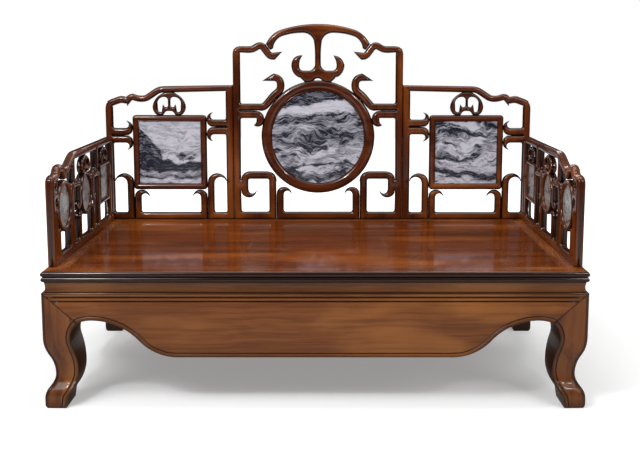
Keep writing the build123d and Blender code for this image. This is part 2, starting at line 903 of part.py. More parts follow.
with BuildPart() as arm_rings:
    with BuildSketch(arm_plane.offset(ring_proud)):
        for place, outer, width in (
            (end_disc_t, end_disc, end_disc_width),
            (0, mid_disc, mid_disc_width),
        ):
            with Locations((place, disc_level)):
                RegularPolygon(outer, disc_flats)
                RegularPolygon(outer - width, disc_flats, mode=Mode.SUBTRACT)
    extrude(amount=-member - 2 * ring_proud)
finish("arm_left_rings", arm_rings)

with BuildPart() as arm_stones:
    with BuildSketch(arm_plane.offset(-plaque_front)):
        with Locations((end_disc_t, disc_level)):
            RegularPolygon(end_disc - end_disc_width, disc_flats)
        with Locations((0, disc_level)):
            RegularPolygon(mid_disc - mid_disc_width, disc_flats)
        with Locations((square_t, square_level)):
            stone_width = arm_square - 2 * arm_square_member + tongue_reach
            Rectangle(stone_width, stone_width)
    extrude(amount=plaque_thick)
finish("arm_left_stones", arm_stones)

with BuildPart() as arm_frame:
    with BuildSketch(arm_plane):
        frame_members(square_t, square_level, arm_square, arm_square, arm_square_member)
    extrude(amount=-member)
    scribe("arm_left_stones")
finish("arm_left_frame", arm_frame)

with BuildPart() as arm_posts:
    with BuildSketch(arm_plane):
        for corner, hand in ((front_corner, -1), (rear_corner, 1)):
            post_t, line = corner
            with BuildSketch(mode=Mode.PRIVATE) as one_post:
                bar([(post_t, 0), corner, (post_t - hand * 2 * member, line)], corner_radius, member)
                mitre(corner, hand, False)
            add(one_post.sketch)
    extrude(amount=-member)
finish("arm_left_posts", arm_posts)

with BuildPart() as arm_top_rails:
    with BuildSketch(arm_plane):
        with BuildSketch(mode=Mode.PRIVATE) as hump:
            scroll(
                [
                    (front_post_t, 0),
                    front_corner,
                    *trail(front_corner, (58, 0), (80, 26), (118, 26), (145, -2)),
                ],
                [arm_corner, 20, 18, 20],
                arm_member,
                tip=Vector(front_post_t + 163, front_rail_line - 20),
            )
            mitre(front_corner, -1, True)
        with BuildSketch(mode=Mode.PRIVATE) as level_rail:
            step = (front_post_t, arm_rail_line)
            bar(
                [(rear_post_t, 0), rear_corner, *trail(step, (280, 0), (186, -41), (155, -43))],
                [arm_corner, 45, 30],
                arm_member,
            )
            mitre(rear_corner, 1, True)
        add(hump.sketch)
        add(level_rail.sketch)
    extrude(amount=-member)
    scribe("arm_left_posts", "arm_left_rings")
finish("arm_left_top_rail", arm_top_rails)

with BuildPart() as arm_bottom_rail:
    with BuildSketch(arm_plane):
        with Locations((0, arm_rail_height / 2)):
            Rectangle(2 * post_face_t, arm_rail_height)
    extrude(amount=-member)
    tenon_blocks(arm_tenons["left"], tenon_thick, tenon_width, tenon_depth + seat_gap, rail_base, 0)
finish("arm_left_bottom_rail", arm_bottom_rail)

strut_t = upright_t + strut_shift
loop_line = arm_loop_top - half_arm_member
loop_root = disc_level - arm_loop_drop
with BuildPart() as arm_loops:
    with BuildSketch(arm_plane):
        for hand in (-1, 1):
            scroll(
                [
                    (-hand * upright_t, arm_rail_height),
                    (-hand * upright_t, loop_line),
                    (-hand * loop_side_t, loop_line),
                    (-hand * loop_side_t, loop_root),
                ],
                20,
                arm_member,
                tip=Vector(-hand * (loop_side_t - horn_reach), loop_root - horn_rise),
            )
            bar([(-hand * strut_t, arm_loop_top), (-hand * strut_t, arm_rail_line)], 0, arm_member)
        bar([(stile_t, arm_rail_height), (stile_t, arm_stile_height)], 0, member)
        bar([(rear_stile_t, arm_rail_height), (rear_stile_t, arm_loop_top)], 0, arm_member)
    extrude(amount=-member)
    scribe("arm_left_rings", "arm_left_frame", "arm_left_top_rail")
finish("arm_left_loops", arm_loops)

with BuildPart() as arm_hooks:
    with BuildSketch(arm_plane):
        for way in (-1, 1):
            root = (-post_face_t + half_arm_member, front_hook_level)
            tip = Vector(root[0] + horn_rise, front_hook_level + way * front_hook_reach)
            scroll([(-post_face_t, front_hook_level), root], 0, arm_member, tip=tip)
        for place, hand, high in (
            (end_disc_t - end_disc + half_arm_member, 1, end_bracket_height),
            (end_disc_t + end_disc - half_arm_member, -1, end_bracket_height),
            (-mid_disc - half_arm_member, 1, mid_bracket_height),
            (mid_disc + half_arm_member, -1, mid_bracket_height),
        ):
            tip = Vector(place + hand * bracket_reach, high)
            scroll([(place, arm_rail_height), (place, high - horn_rise)], 0, bracket_member, tip=tip)
    extrude(amount=-member)
    scribe("arm_left_posts", "arm_left_rings", "arm_left_loops")
finish("arm_left_hooks", arm_hooks)

with BuildPart() as arm_clouds:
    with BuildSketch(arm_plane):
        cloud_top = arm_rail_line - half_arm_member + cloud_lap
        cloud(0, disc_level + mid_disc - cloud_seat, cloud_top, arm_cloud_half)
        cloud(square_t, arm_square_base + arm_square - lap, cloud_top, arm_cloud_half)
    extrude(amount=-member + cloud_thin)
    scribe("arm_left_rings", "arm_left_frame", "arm_left_top_rail")
finish("arm_left_clouds", arm_clouds)

# ---------------------------------------------------------------- the other hand
for name in [key for key in finished if key.startswith(("back_left", "arm_left"))]:
    with BuildPart() as twin:
        add(finished[name].mirror(Plane.YZ))
    finish(name.replace("left", "right"), twin)
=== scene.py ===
from math import ceil, cos, pi, radians, sin, tan

import bmesh
import bpy
import numpy as np
from mathutils.geometry import delaunay_2d_cdt
from numpy.linalg import norm
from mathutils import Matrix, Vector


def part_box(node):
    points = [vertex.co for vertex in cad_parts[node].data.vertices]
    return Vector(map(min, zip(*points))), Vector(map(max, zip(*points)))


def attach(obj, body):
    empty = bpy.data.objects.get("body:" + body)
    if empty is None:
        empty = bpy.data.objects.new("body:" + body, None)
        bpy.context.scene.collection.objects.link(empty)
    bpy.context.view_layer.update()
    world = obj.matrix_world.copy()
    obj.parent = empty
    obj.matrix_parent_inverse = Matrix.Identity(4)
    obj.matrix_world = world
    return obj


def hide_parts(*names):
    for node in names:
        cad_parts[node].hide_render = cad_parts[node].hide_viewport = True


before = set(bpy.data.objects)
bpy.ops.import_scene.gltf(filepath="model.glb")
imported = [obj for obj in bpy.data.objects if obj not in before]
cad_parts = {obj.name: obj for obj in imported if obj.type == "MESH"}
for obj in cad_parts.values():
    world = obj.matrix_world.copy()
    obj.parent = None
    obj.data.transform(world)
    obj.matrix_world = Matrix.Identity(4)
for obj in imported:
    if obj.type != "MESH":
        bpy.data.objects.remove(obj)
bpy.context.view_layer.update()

# ---------------------------------------------------------------- seat frame
# Four polished hardwood members, mitred at the corners, hold the seat boards in a groove. Their
# outer edges are run with two rounded beads and a quirk between them, and the back and the ends
# are mortised for the tenons of the five panels.


class Wire:
    """A socket of a material's nodes, wrapped so that maths on it reads as arithmetic."""

    def __init__(self, socket):
        self.socket = socket

    def node(self, kind, settings=None, inputs=None, output=0):
        """Add a node of a kind: first its settings, then the values or wires of its sockets."""
        tree = self.socket.id_data
        made = tree.nodes.new(f"ShaderNode{kind}")
        for name, value in (settings or {}).items():
            if name == "stops":
                ramp = made.color_ramp
                ramp.elements.remove(ramp.elements[1])
                ramp.elements[0].position = value[0][0]
                for place, _ in value[1:]:
                    ramp.elements.new(place)
                for element, (_, shade) in zip(ramp.elements, value):
                    element.color = (*shade, 1)
            else:
                setattr(made, name, value)
        for name, value in (inputs or {}).items():
            if isinstance(value, Wire):
                tree.links.new(value.socket, made.inputs[name])
            else:
                made.inputs[name].default_value = value
        return Wire(made.outputs[output]) if made.outputs else None

    def math(self, operation, *values):
        return self.node("Math", {"operation": operation}, dict(enumerate(values)))

    def __add__(self, other):
        return self.math("ADD", self, other)

    def __radd__(self, other):
        return self.math("ADD", other, self)

    def __sub__(self, other):
        return self.math("SUBTRACT", self, other)

    def __rsub__(self, other):
        return self.math("SUBTRACT", other, self)

    def __mul__(self, other):
        return self.math("MULTIPLY", self, other)

    def __rmul__(self, other):
        return self.math("MULTIPLY", other, self)

    def between(self, low, high):
        """Rise smoothly from 0 at low to 1 at high."""
        return self.node("MapRange", {"interpolation_type": "SMOOTHSTEP"}, {0: self, 1: low, 2: high})

    def mix(self, low, high):
        """Go from the low colour to the high one with this mask."""
        low, high = [(*shade, 1) if isinstance(shade, tuple) else shade for shade in (low, high)]
        return self.node("Mix", {"data_type": "RGBA"}, {0: self, 6: low, 7: high}, output=2)

    def axis(self, number):
        return self.node("SeparateXYZ", {}, {0: self}, output=number)

    def stretched(self, factors):
        return self.node("VectorMath", {"operation": "MULTIPLY"}, {0: self, 1: factors})

    def shifted(self, by):
        return self.node("VectorMath", {"operation": "ADD"}, {0: self, 1: by})

    def warped(self, scale, amount, detail=2.0):
        """Push the place about with a slow noise."""
        stir = self.node("TexNoise", {}, {"Vector": self, "Scale": scale, "Detail": detail}, output=1)
        centred = stir.shifted((-0.5, -0.5, -0.5))
        return self.shifted(centred.stretched((amount, amount, amount)))

    def noise(self, detail, rough):
        sockets = {"Vector": self, "Scale": 1.0, "Detail": detail, "Roughness": rough}
        return self.node("TexNoise", {}, sockets)


def finish_start(name):
    """Start a material, and return it with the place on the piece that it is worked out from."""
    made = bpy.data.materials.new(name)
    made.use_nodes = True
    made.node_tree.nodes.clear()
    return made, Wire(made.node_tree.nodes.new("ShaderNodeTexCoord").outputs["Object"])


def hardwood(name, grain, base, dark, amber, polish, patina=0.0, streak=30.0, quirk=0.0045,
             gloss=0.3, board=None):
    """A polished tropical hardwood whose grain runs along one axis: dark streaks, slow amber
    figure and fine pores. Patina and painted shade darken what lies within a quirk's reach of a
    carved edge, a seam or an inner face, and a board's width gives each board a figure of its own."""
    made, place = finish_start(name)
    if board:
        count = place.math("FLOOR", place.axis(1) * (1 / board))
        place = place.shifted(place.node("CombineXYZ", {}, {0: count * 1.7, 2: count * 0.9}))

    def run(along, across):
        factors = [across, across, across]
        factors[grain] = along
        return tuple(factors)

    bent = place.warped(1.7, 0.05).warped(7.0, 0.008)
    streaks = bent.stretched(run(1.3, streak)).noise(5.0, 0.6)
    fine = bent.stretched(run(5.0, streak * 6)).noise(3.0, 0.6)
    figure = place.warped(3.0, 0.1).stretched(run(1.6, 5.0)).noise(3.0, 0.5)
    pores = place.stretched(run(30.0, 900.0)).noise(2.0, 0.5)
    ground = (streaks * 0.75 + fine * 0.25).between(0.36, 0.6).mix(dark, base)
    warm = figure.between(0.48, 0.66).mix(ground, amber)
    shade = (streaks.between(0.3, 0.5) * 0.5 + 0.5).mix(ground, warm)
    # Patina and painted shade: the colour goes near black towards the edges, seams and inner faces that the
    # mesh marks.
    edge = place.node("Attribute", {"attribute_name": "edge"}, output=2)
    worn = edge.between(quirk * 0.13, quirk) * patina + (1 - patina)
    pitted = pores.between(0.62, 0.72)
    patina_and_shade_colour = (0.009, 0.003, 0.0015)
    surface = {
        "Base Color": worn.mix(patina_and_shade_colour, shade),
        "Roughness": fine * 0.16 + (polish - 0.06) + pitted * 0.1,
        "Specular IOR Level": 0.12,
        "Coat Weight": gloss,
        "Coat Roughness": 0.05,
        "Normal": place.node("Bump", {}, {"Strength": 0.12, "Distance": 0.0004, "Height": 1 - pitted}),
    }
    place.node("OutputMaterial", {}, {"Surface": place.node("BsdfPrincipled", {}, surface)})
    return made


def hardwoods(name, grains, *shades, **finish):
    """The same wood with its grain along each of some axes."""
    return {grain: hardwood(f"{name}_{'xyz'[grain]}", grain, *shades, **finish) for grain in grains}


def put(name, data):
    """Put a mesh, a lamp or the camera into the scene."""
    made = bpy.data.objects.new(name, data)
    bpy.context.scene.collection.objects.link(made)
    return made


def piece(name, shells, body, nodes, material, crease=38):
    """Make one piece from closed shells of points and faces, and hide the nodes of the frame that it
    stands for. A third item of a shell is how far each point is from a dark edge."""
    bm = bmesh.new()
    edge_layer = bm.verts.layers.float.new("edge")
    for points, faces, *edges in shells:
        verts = [bm.verts.new(point) for point in points]
        for vert, edge in zip(verts, edges[0] if edges else [1.0] * len(verts)):
            vert[edge_layer] = edge
        for face in faces:
            bm.faces.new([verts[index] for index in face])
    bmesh.ops.recalc_face_normals(bm, faces=bm.faces)
    mesh = bpy.data.meshes.new(name)
    bm.to_mesh(mesh)
    bm.free()
    mesh.shade_smooth()
    mesh.set_sharp_from_angle(angle=radians(crease))
    mesh.materials.append(material)
    made = put(name, mesh)
    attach(made, body)
    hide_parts(*nodes)


def turned(x, y, turn):
    return x * cos(turn) - y * sin(turn), x * sin(turn) + y * cos(turn)


def band(first, second, count):
    """The faces between two equal rings of points."""
    return [[first + index, first + (index + 1) % count, second + (index + 1) % count, second + index]
            for index in range(count)]


def mitred(profile, length, reach, turn):
    """One straight length of a profile, given as insets and levels, mitred at both ends."""
    hairline = 0.0001
    count = len(profile)
    points = [(*turned(hand * (length / 2 - inset - hairline), inset - reach, turn), level)
              for hand in (-1, 1) for inset, level in profile]
    return points, [list(range(count)), list(range(count, 2 * count)), *band(0, count, count)]


def bead(start, end, bulge):
    """A rounded bead between two points of a profile, which stands out by bulge."""
    found, steps = [], 12
    for step in range(steps + 1):
        part = step / steps
        inset = start[0] + (end[0] - start[0]) * part - bulge * sin(pi * part) ** 0.75
        found.append((inset, start[1] + (end[1] - start[1]) * part))
    return found


def inside(points, loops):
    """Tell which points lie inside the loops, by counting the edges that they cross."""
    found = np.zeros(len(points), bool)
    x, y = points[:, :1], points[:, 1:]
    for loop in loops:
        start, end = loop, np.roll(loop, -1, 0)
        rise = end[:, 1] - start[:, 1]
        crossed = (start[:, 1] > y) != (end[:, 1] > y)
        at = start[:, 0] + (y - start[:, 1]) * (end[:, 0] - start[:, 0]) / np.where(rise == 0, 1, rise)
        found ^= np.count_nonzero(crossed & (x < at), axis=1) % 2 == 1
    return found


def sheet_of(loops, extra=(), lines=()):
    """Fill the loops with triangles through the extra points, and return points and triangles.
    Lines are pairs of points that have to be edges."""
    points = [point for loop in loops for point in loop]
    edges = []
    for loop in loops:
        first = len(edges)
        edges += [(first + index, first + (index + 1) % len(loop)) for index in range(len(loop))]
    for start, end in lines:
        edges.append((len(points), len(points) + 1))
        points += [start, end]
    points += list(extra)
    scaled = [(float(x) * 1000, float(y) * 1000) for x, y in points]
    found = delaunay_2d_cdt(scaled, edges, [], 1, 0.002)
    spots = np.array([(x / 1000, y / 1000) for x, y in found[0]])
    triangles = np.array([face for face in found[2] if len(face) == 3])
    triangles = triangles[inside(spots[triangles].mean(1), loops)]
    used, renumbered = np.unique(triangles, return_inverse=True)
    return spots[used], renumbered.reshape(-1, 3)


seat_length, seat_depth, seat_top, frame_base = 1.84, 1.02, 0.476, 0.44
side_middle, back_plane = 0.64015, 0.486
arm_plane, arm_middle = 0.9, 0.01635
back_tenon, arm_tenon, tenon_wide, tenon_thick = 0.09, 0.25, 0.05, 0.01
mortise_deep, mortise_gap = 0.022, 0.0004
tenons = {
    "back_left": [(way * back_tenon - side_middle, back_plane, tenon_wide, tenon_thick) for way in (-1, 1)],
    "back_centre": [(way * back_tenon, back_plane, tenon_wide, tenon_thick) for way in (-1, 1)],
    "arm_left": [(-arm_plane, arm_middle + way * arm_tenon, tenon_thick, tenon_wide) for way in (-1, 1)],
}


def across_from(spots):
    return [(-x, *rest) for x, *rest in spots]


def mortised(points, faces, strip, spots):
    """Sink mortises for tenons, each a middle and its sizes, in one strip of the upper face."""
    quad = faces.pop(2 + strip)
    holes = []
    for x, y, wide, deep in spots:
        half_x, half_y = wide / 2 + mortise_gap, deep / 2 + mortise_gap
        holes.append([(x - half_x, y - half_y), (x + half_x, y - half_y),
                      (x + half_x, y + half_y), (x - half_x, y + half_y)])
    sheet, triangles = sheet_of([np.array([points[corner][:2] for corner in quad]), *map(np.array, holes)])
    numbers = []
    for spot in sheet:
        same = [corner for corner in quad if np.abs(spot - points[corner][:2]).max() < 1e-5]
        numbers.append(same[0] if same else len(points))
        if not same:
            points.append((*spot, seat_top))
    faces += [[numbers[index] for index in corners] for corners in triangles]
    for hole in holes:
        rim = [numbers[int(np.argmin(np.abs(sheet - corner).sum(1)))] for corner in hole]
        low = len(points)
        points += [(x, y, seat_top - mortise_deep) for x, y in hole]
        faces += [[rim[a], rim[b], low + b, low + a] for a, b in ((0, 1), (1, 2), (2, 3), (3, 0))]
        faces.append([low, low + 1, low + 2, low + 3])


frame_wood = hardwoods("frame_wood", (0, 1), (0.17, 0.042, 0.009), (0.09, 0.021, 0.005),
                       (0.25, 0.075, 0.016), 0.16, patina=0.96, quirk=0.006)
sides = {
    "front": ("rail", 0, seat_length, seat_depth / 2, 0.0),
    "back": ("rail", 0, seat_length, seat_depth / 2, pi),
    "left": ("end", 1, seat_depth, seat_length / 2, -pi / 2),
    "right": ("end", 1, seat_depth, seat_length / 2, pi / 2),
}
mortises = {
    "back": [*tenons["back_left"], *tenons["back_centre"], *across_from(tenons["back_left"])],
    "left": tenons["arm_left"],
    "right": across_from(tenons["arm_left"]),
}
bead_bulge, bead_foot, quirk_top, quirk_foot = 0.0055, 0.008, 0.4585, 0.4575
frame_wide, board_ease = 0.08, 0.0016
strip_start = (0.0765, seat_top)
edge_profile = [
    *bead((bead_bulge, seat_top - 0.0002), (bead_bulge, quirk_top), bead_bulge),
    *bead((0.0065, quirk_foot), (0.0065, frame_base + 0.0005), bead_bulge),
    (bead_foot, frame_base),
    (frame_wide, frame_base),
    (frame_wide, seat_top - board_ease),
    (0.0775, seat_top),
    strip_start,
    (0.009, seat_top),
    (bead_foot, seat_top),
]
# Patina and painted shade on the beaded outer edge, and a dark joint where the boards meet the frame.
frame_patina_and_shade = [0.0 if inset > 0.077 or inset < 0.0085 and level < seat_top - 0.0001 else 1.0
             for inset, level in edge_profile]
for side, (kind, grain, length, reach, turn) in sides.items():
    points, faces = mitred(edge_profile, length, reach, turn)
    if side in mortises:
        mortised(points, faces, edge_profile.index(strip_start), mortises[side])
    worn = frame_patina_and_shade * 2
    # The walls of the mortises get painted shade.
    worn += [1.0 if level == seat_top else 0.0 for _, _, level in points[len(worn):]]
    node = f"seat_{kind}_{side}"
    piece(f"{node}_beaded", [(points, faces, worn)], "bed", [node], frame_wood[grain])

# ---------------------------------------------------------------- seat boards
# Four wide boards of the same hardwood, tongued into the frame and carried by three battens
# underneath. The upper side is rubbed to a near mirror.


def finished(node, material):
    """Give the frame's own mesh of a node its finish."""
    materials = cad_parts[node].data.materials
    materials.clear()
    materials.append(material)


board_width = 0.215
dark_brown = (0.1, 0.03, 0.007)
finished("seat_boards", hardwood("board_wood", 0, (0.145, 0.032, 0.0055), (0.07, 0.015, 0.003),
                                 (0.23, 0.06, 0.01), 0.12, streak=24.0, board=board_width))
finished("seat_battens", hardwood("batten_wood", 1, (0.1, 0.04, 0.018), dark_brown,
                                  (0.16, 0.07, 0.03), 0.5))

# ---------------------------------------------------------------- waist
# Four mitred hardwood boards under the seat frame, set back behind it, with a shallow hollow
# planed along the middle that catches the light.

waist_wood = hardwood("waist_wood", 0, (0.12, 0.044, 0.015), (0.07, 0.024, 0.009), (0.17, 0.066, 0.022), 0.32,
                      patina=0.85, gloss=0.12)
waist_base, waist_inset, waist_rear, hollow_deep, hollow_margin = 0.404, 0.01, 0.03, 0.0022, 0.005
hollow_high = frame_base - hollow_margin
hollow_tall = hollow_high - hollow_margin - waist_base
waist_profile = [
    (waist_inset, frame_base),
    *[(waist_inset + hollow_deep * sin(pi * step / 8), hollow_high - hollow_tall * step / 8)
      for step in range(9)],
    (waist_inset, waist_base),
    (waist_rear, waist_base),
    (waist_rear, frame_base),
]
# Painted shade: the recessed waist darkens towards its top, under the frame, and towards its foot.
waist_edge_shade = [min(frame_base - level, level - waist_base) * 1.2 for _, level in waist_profile]
waist_lengths = [(*mitred(waist_profile, length, reach, turn), waist_edge_shade * 2)
                 for _, _, length, reach, turn in sides.values()]
piece("waist_hollowed", waist_lengths, "bed", ["waist_boards"], waist_wood)

# ---------------------------------------------------------------- aprons
# Wide hardwood boards below the waist, mitred to the shoulders of the legs. Two beads run along
# the top, and one bead follows the lower edge as it sweeps up to an arch beside each leg.


def spread(start, end, step):
    """Points along a straight run, without its end, no further apart than a step."""
    start, end = np.array(start, float), np.array(end, float)
    count = max(1, ceil(norm(end - start) / step - 1e-6))
    return [start + (end - start) * index / count for index in range(count)]


def runs_of(loops):
    """The starts and the ends of all the runs of some loops."""
    return np.concatenate(loops), np.concatenate([np.roll(loop, -1, 0) for loop in loops])


def outward(runs):
    """Unit vectors square to some runs, to their right."""
    lengths = np.maximum(norm(runs, axis=1), 1e-9)
    return np.stack([runs[:, 1], -runs[:, 0]], 1) / lengths[:, None]


def reach_of(points, starts, ends):
    """The distance from each point to the nearest of some straight runs."""
    found = np.empty(len(points))
    run = ends - starts
    square = np.maximum((run**2).sum(1), 1e-18)
    for first in range(0, len(points), 1500):
        away = points[first : first + 1500, None] - starts
        part = np.clip((away * run).sum(2) / square, 0, 1)
        found[first : first + 1500] = norm(away - part[..., None] * run, axis=2).min(1)
    return found


def rim_of(faces):
    """The edges that only one of some faces has."""
    found = {}
    for face in faces:
        for start, end in zip(face, [*face[1:], face[0]]):
            if (end, start) in found:
                del found[end, start]
            else:
                found[start, end] = True
    return list(found)


def boxed(front, back, triangles):
    """A closed shell from two sheets of points that have the same triangles."""
    count, faces = len(front), triangles.tolist()
    far = [[index + count for index in corners[::-1]] for corners in faces]
    return [*front, *back], faces + far + [[b, a, a + count, b + count] for a, b in rim_of(faces)]


def bent_path(start, heading, *stops, step=0.009):
    """Points of arcs from stop to stop, each leaving in the direction the last arrived in."""
    here, ahead = np.array(start, float), np.array(heading, float)
    ahead /= norm(ahead)
    found = [here]
    for stop in stops:
        chord = np.array(stop, float) - here
        span = norm(chord)
        aside = (ahead[0] * chord[1] - ahead[1] * chord[0]) / span
        half = np.arctan2(aside, ahead @ chord / span)
        length = span * half / sin(half) if abs(half) > 1e-6 else span
        count = max(2, ceil(length / step))
        for index in range(1, count + 1):
            way = half * index / count
            reach = length * index / count * (sin(way) / way if abs(way) > 1e-9 else 1)
            found.append(here + reach * np.array(turned(*ahead, way)))
        here, ahead = found[-1], np.array(turned(*ahead, 2 * half))
    return found


low_bead_half, low_bead_high, low_quirk = 0.0062, 0.00144, 0.0145
crown_half, crown_high, crown_beads, crown_quirks = 0.007, 0.002, (0.007, 0.021), (0.014, 0.0282)
crown_deep, quirk_deep, edge_ease = 0.001, 0.0022, 0.002


def rounded(away, middle, half):
    """How high a round bead is at some distances, from 0 to 1."""
    return np.sqrt(np.clip(1 - ((away - middle) / half) ** 2, 0, 1))


def groove(away, line, half):
    """How deep a fine groove is at some distances, from 0 to 1."""
    return np.exp(-(((away - line) / half) ** 2))


def border(away):
    """Depth of the rounded bead that follows the lower edges, and of the quirk beside it."""
    bead_at = rounded(away, low_bead_half, low_bead_half) * (away < low_bead_half * 2)
    edge = np.clip(1 - away / edge_ease, 0, 1) ** 2
    return quirk_deep * (groove(away, low_quirk, 0.0016) + edge) - low_bead_high * bead_at


def near_quirk(away):
    """How far a lower edge and the quirk beside its bead are darkened with patina and painted shade, as a
    distance.
    """
    edge = np.where(away < low_quirk, away * 0.2 + 0.0011, 0.1)
    return np.minimum(edge, np.abs(away - low_quirk) * 1.1)


def crown_lines(down):
    """Depth of the two beads along the top of an apron, from how far down a point is."""
    beads = sum(rounded(down, middle, crown_half) for middle in crown_beads)
    quirks = sum(groove(down, line, 0.0012) for line in crown_quirks)
    return crown_deep + quirk_deep * quirks - crown_high * beads


def rows_beside(path, rows):
    """Points on the left of a path at each row's distance, square to the path."""
    right = outward(np.gradient(path, axis=0))
    return np.concatenate([path - right * row for row in rows])


leg_shoulder, leg_depth, shoulder_drop = 0.118, 0.134, 0.104
shoulders = {"rail": leg_shoulder, "end": leg_depth}
mitre_foot = waist_base - shoulder_drop
apron_low, apron_inset, apron_thick = 0.181, 0.0005, 0.026
arch_crown, arch_run, arch_rise, arch_turn = 0.047, 0.29, 0.128, 0.45


def apron_edge(half, shoulder):
    """The swept lower edge of an apron's right half, from the middle to the mitre's foot."""
    crown = np.array([half - shoulder - arch_crown, apron_low + arch_rise])
    low = np.array([crown[0] - arch_run, apron_low])
    turn = low + (crown - low) * arch_turn
    foot = (half - shoulder, mitre_foot)
    return [*spread((0, apron_low), low, 0.02), *bent_path(low, (1, 0), turn, crown, foot)]


apron_wood = hardwoods("apron_wood", (0, 1), (0.17, 0.053, 0.012), dark_brown, (0.235, 0.083, 0.019), 0.3,
                       patina=0.88, streak=62.0, gloss=0.12)
bead_rows = (0.0012, 0.003, 0.006, 0.009, 0.0112, 0.0128, 0.0145, 0.0162, 0.018)
crown_rows = (0.002, 0.0045, 0.007, 0.01, 0.0125, 0.014, 0.0155, 0.018, 0.021, 0.0245, 0.0268,
              0.0282, 0.0296, 0.034)
mitre_step, mitre_rows = 0.006, (0.0011, 0.0028)
crown_reach, border_reach, clear_of_bead, clear_of_rim = 0.036, 0.019, 0.02, 0.0008
for side, (kind, grain, length, reach, turn) in sides.items():
    half = length / 2 - apron_inset
    right = apron_edge(half, shoulders[kind])
    lower = [(-x, y) for x, y in right[:0:-1]] + [tuple(point) for point in right]
    right_mitre, left_mitre = (lower[-1], (half, waist_base)), ((-half, waist_base), lower[0])
    columns = np.linspace(-half, half, 90 if kind == "rail" else 50)
    outline = np.array(lower + spread(*right_mitre, mitre_step)[1:]
                       + [(x, waist_base) for x in columns[:0:-1]] + spread(*left_mitre, mitre_step))
    rows = rows_beside(lower, bead_rows)
    grid = [(x, waist_base - down) for down in crown_rows for x in columns]
    by_mitres = [rows_beside(spread(*mitre, 0.005), mitre_rows) for mitre in (right_mitre, left_mitre)]
    edge_runs = np.array(lower[:-1]), np.array(lower[1:])
    spare = np.array([*rows, *grid, *np.concatenate(by_mitres)])
    away = reach_of(spare, *edge_runs)
    closest = [*np.repeat(bead_rows, len(lower)), *np.full(len(spare) - len(rows), clear_of_bead)]
    spare = spare[(away > np.array(closest) * 0.97) & inside(spare, [outline])]
    rim = reach_of(spare, *runs_of([outline]))
    spots, triangles = sheet_of([outline], spare[rim > clear_of_rim])
    away, down = reach_of(spots, *edge_runs), waist_base - spots[:, 1]
    relief = np.where(away < border_reach, border(away), crown_lines(down) * (down < crown_reach))
    face_y = apron_inset - reach
    front = [(*turned(x, y, turn), z) for (x, z), y in zip(spots, face_y + relief)]
    rear_x = np.clip(spots[:, 0], -half + apron_thick, half - apron_thick)
    back = [(*turned(x, face_y + apron_thick, turn), z) for x, z in zip(rear_x, spots[:, 1])]
    mitres = reach_of(np.abs(spots), *np.array(right_mitre)[:, None])
    # Patina and painted shade on the lower edge, the quirks and the top edge under the waist, dark joints at
    # the mitres, and painted shade over the whole back face.
    quirks = [near_quirk(away), down * 0.7, np.abs(down - crown_quirks[0]) * 0.7,
              np.abs(down - crown_quirks[1]) * 0.8, mitres * 1.4]
    edges = [*np.min(quirks, axis=0), *np.full(len(spots), 0.002)]
    piece(f"apron_{side}_beaded", [(*boxed(front, back, triangles), edges)], "bed", [f"apron_{side}"],
          apron_wood[grain])

# ---------------------------------------------------------------- legs
# Each cabriole leg is cut from one thick block of the same hardwood. The beads of both aprons run
# on down its inner edges, a fine line follows the corner, and the foot swells to a carved toe.

leg_wood = hardwood("leg_wood", 2, (0.14, 0.044, 0.011), (0.075, 0.022, 0.007), (0.2, 0.07, 0.017), 0.3,
                    patina=0.92, gloss=0.16)
knee, ankle, ankle_sweep, toe = 0.25, 0.115, 0.031, 0.036
outer_stops = [(ankle_sweep / 2, (toe + ankle) / 2), (ankle_sweep, ankle),
               (ankle_sweep / 2, (knee + ankle) / 2), (0, knee)]
outer_sweep = np.array([(0.006, 0), (0.0025, 0.004), (0, 0.012), (0, 0.024),
                        *bent_path((0, toe), (0, 1), *outer_stops, step=0.005), (0, waist_base)])
heel, calf, throat = (0.076, 0.04), (0.111, 0.133), (0.097, 0.225)
below_calf = bent_path(calf, (0, -1), heel, step=0.005)[::-1]
above_calf = bent_path(calf, (0, 1), throat, (leg_shoulder, mitre_foot), step=0.005)
inner_front = np.array([(0.07, 0), *below_calf, *above_calf[1:], (0, waist_base)])
side_foot, side_shin, side_knee = np.array([(0.125, 0.0), (0.137, 0.15), (0.134, 0.3)])
inner_side = np.array([*(side_foot * (1 - t) * (1 - 2 * t) + side_shin * 4 * t * (1 - t)
                         + side_knee * t * (2 * t - 1) for t in np.linspace(0, 1, 40)), (0, waist_base)])
levels = np.unique(np.concatenate([np.linspace(0, mitre_foot, 61), [0.012, 0.036, 0.04],
                                   np.linspace(mitre_foot, waist_base - 0.0005, 22)]).round(5))
outer_at = np.interp(levels, outer_sweep[:, 1], outer_sweep[:, 0])
corner_rows = [-row for row in (0.001, 0.0025, 0.005, 0.0075, 0.009, 0.0105)]
line_in, line_deep, line_foot = 0.009, 0.0016, 0.06
corner_ease, corner_deep, arch_seen = 0.006, 0.003, 0.26
brow_level, brow_rise, brow_reach = 0.066, 0.018, 0.06
toe_deep, toe_ledge, toe_top, toe_fade = 0.0026, 0.004, 0.125, 0.04


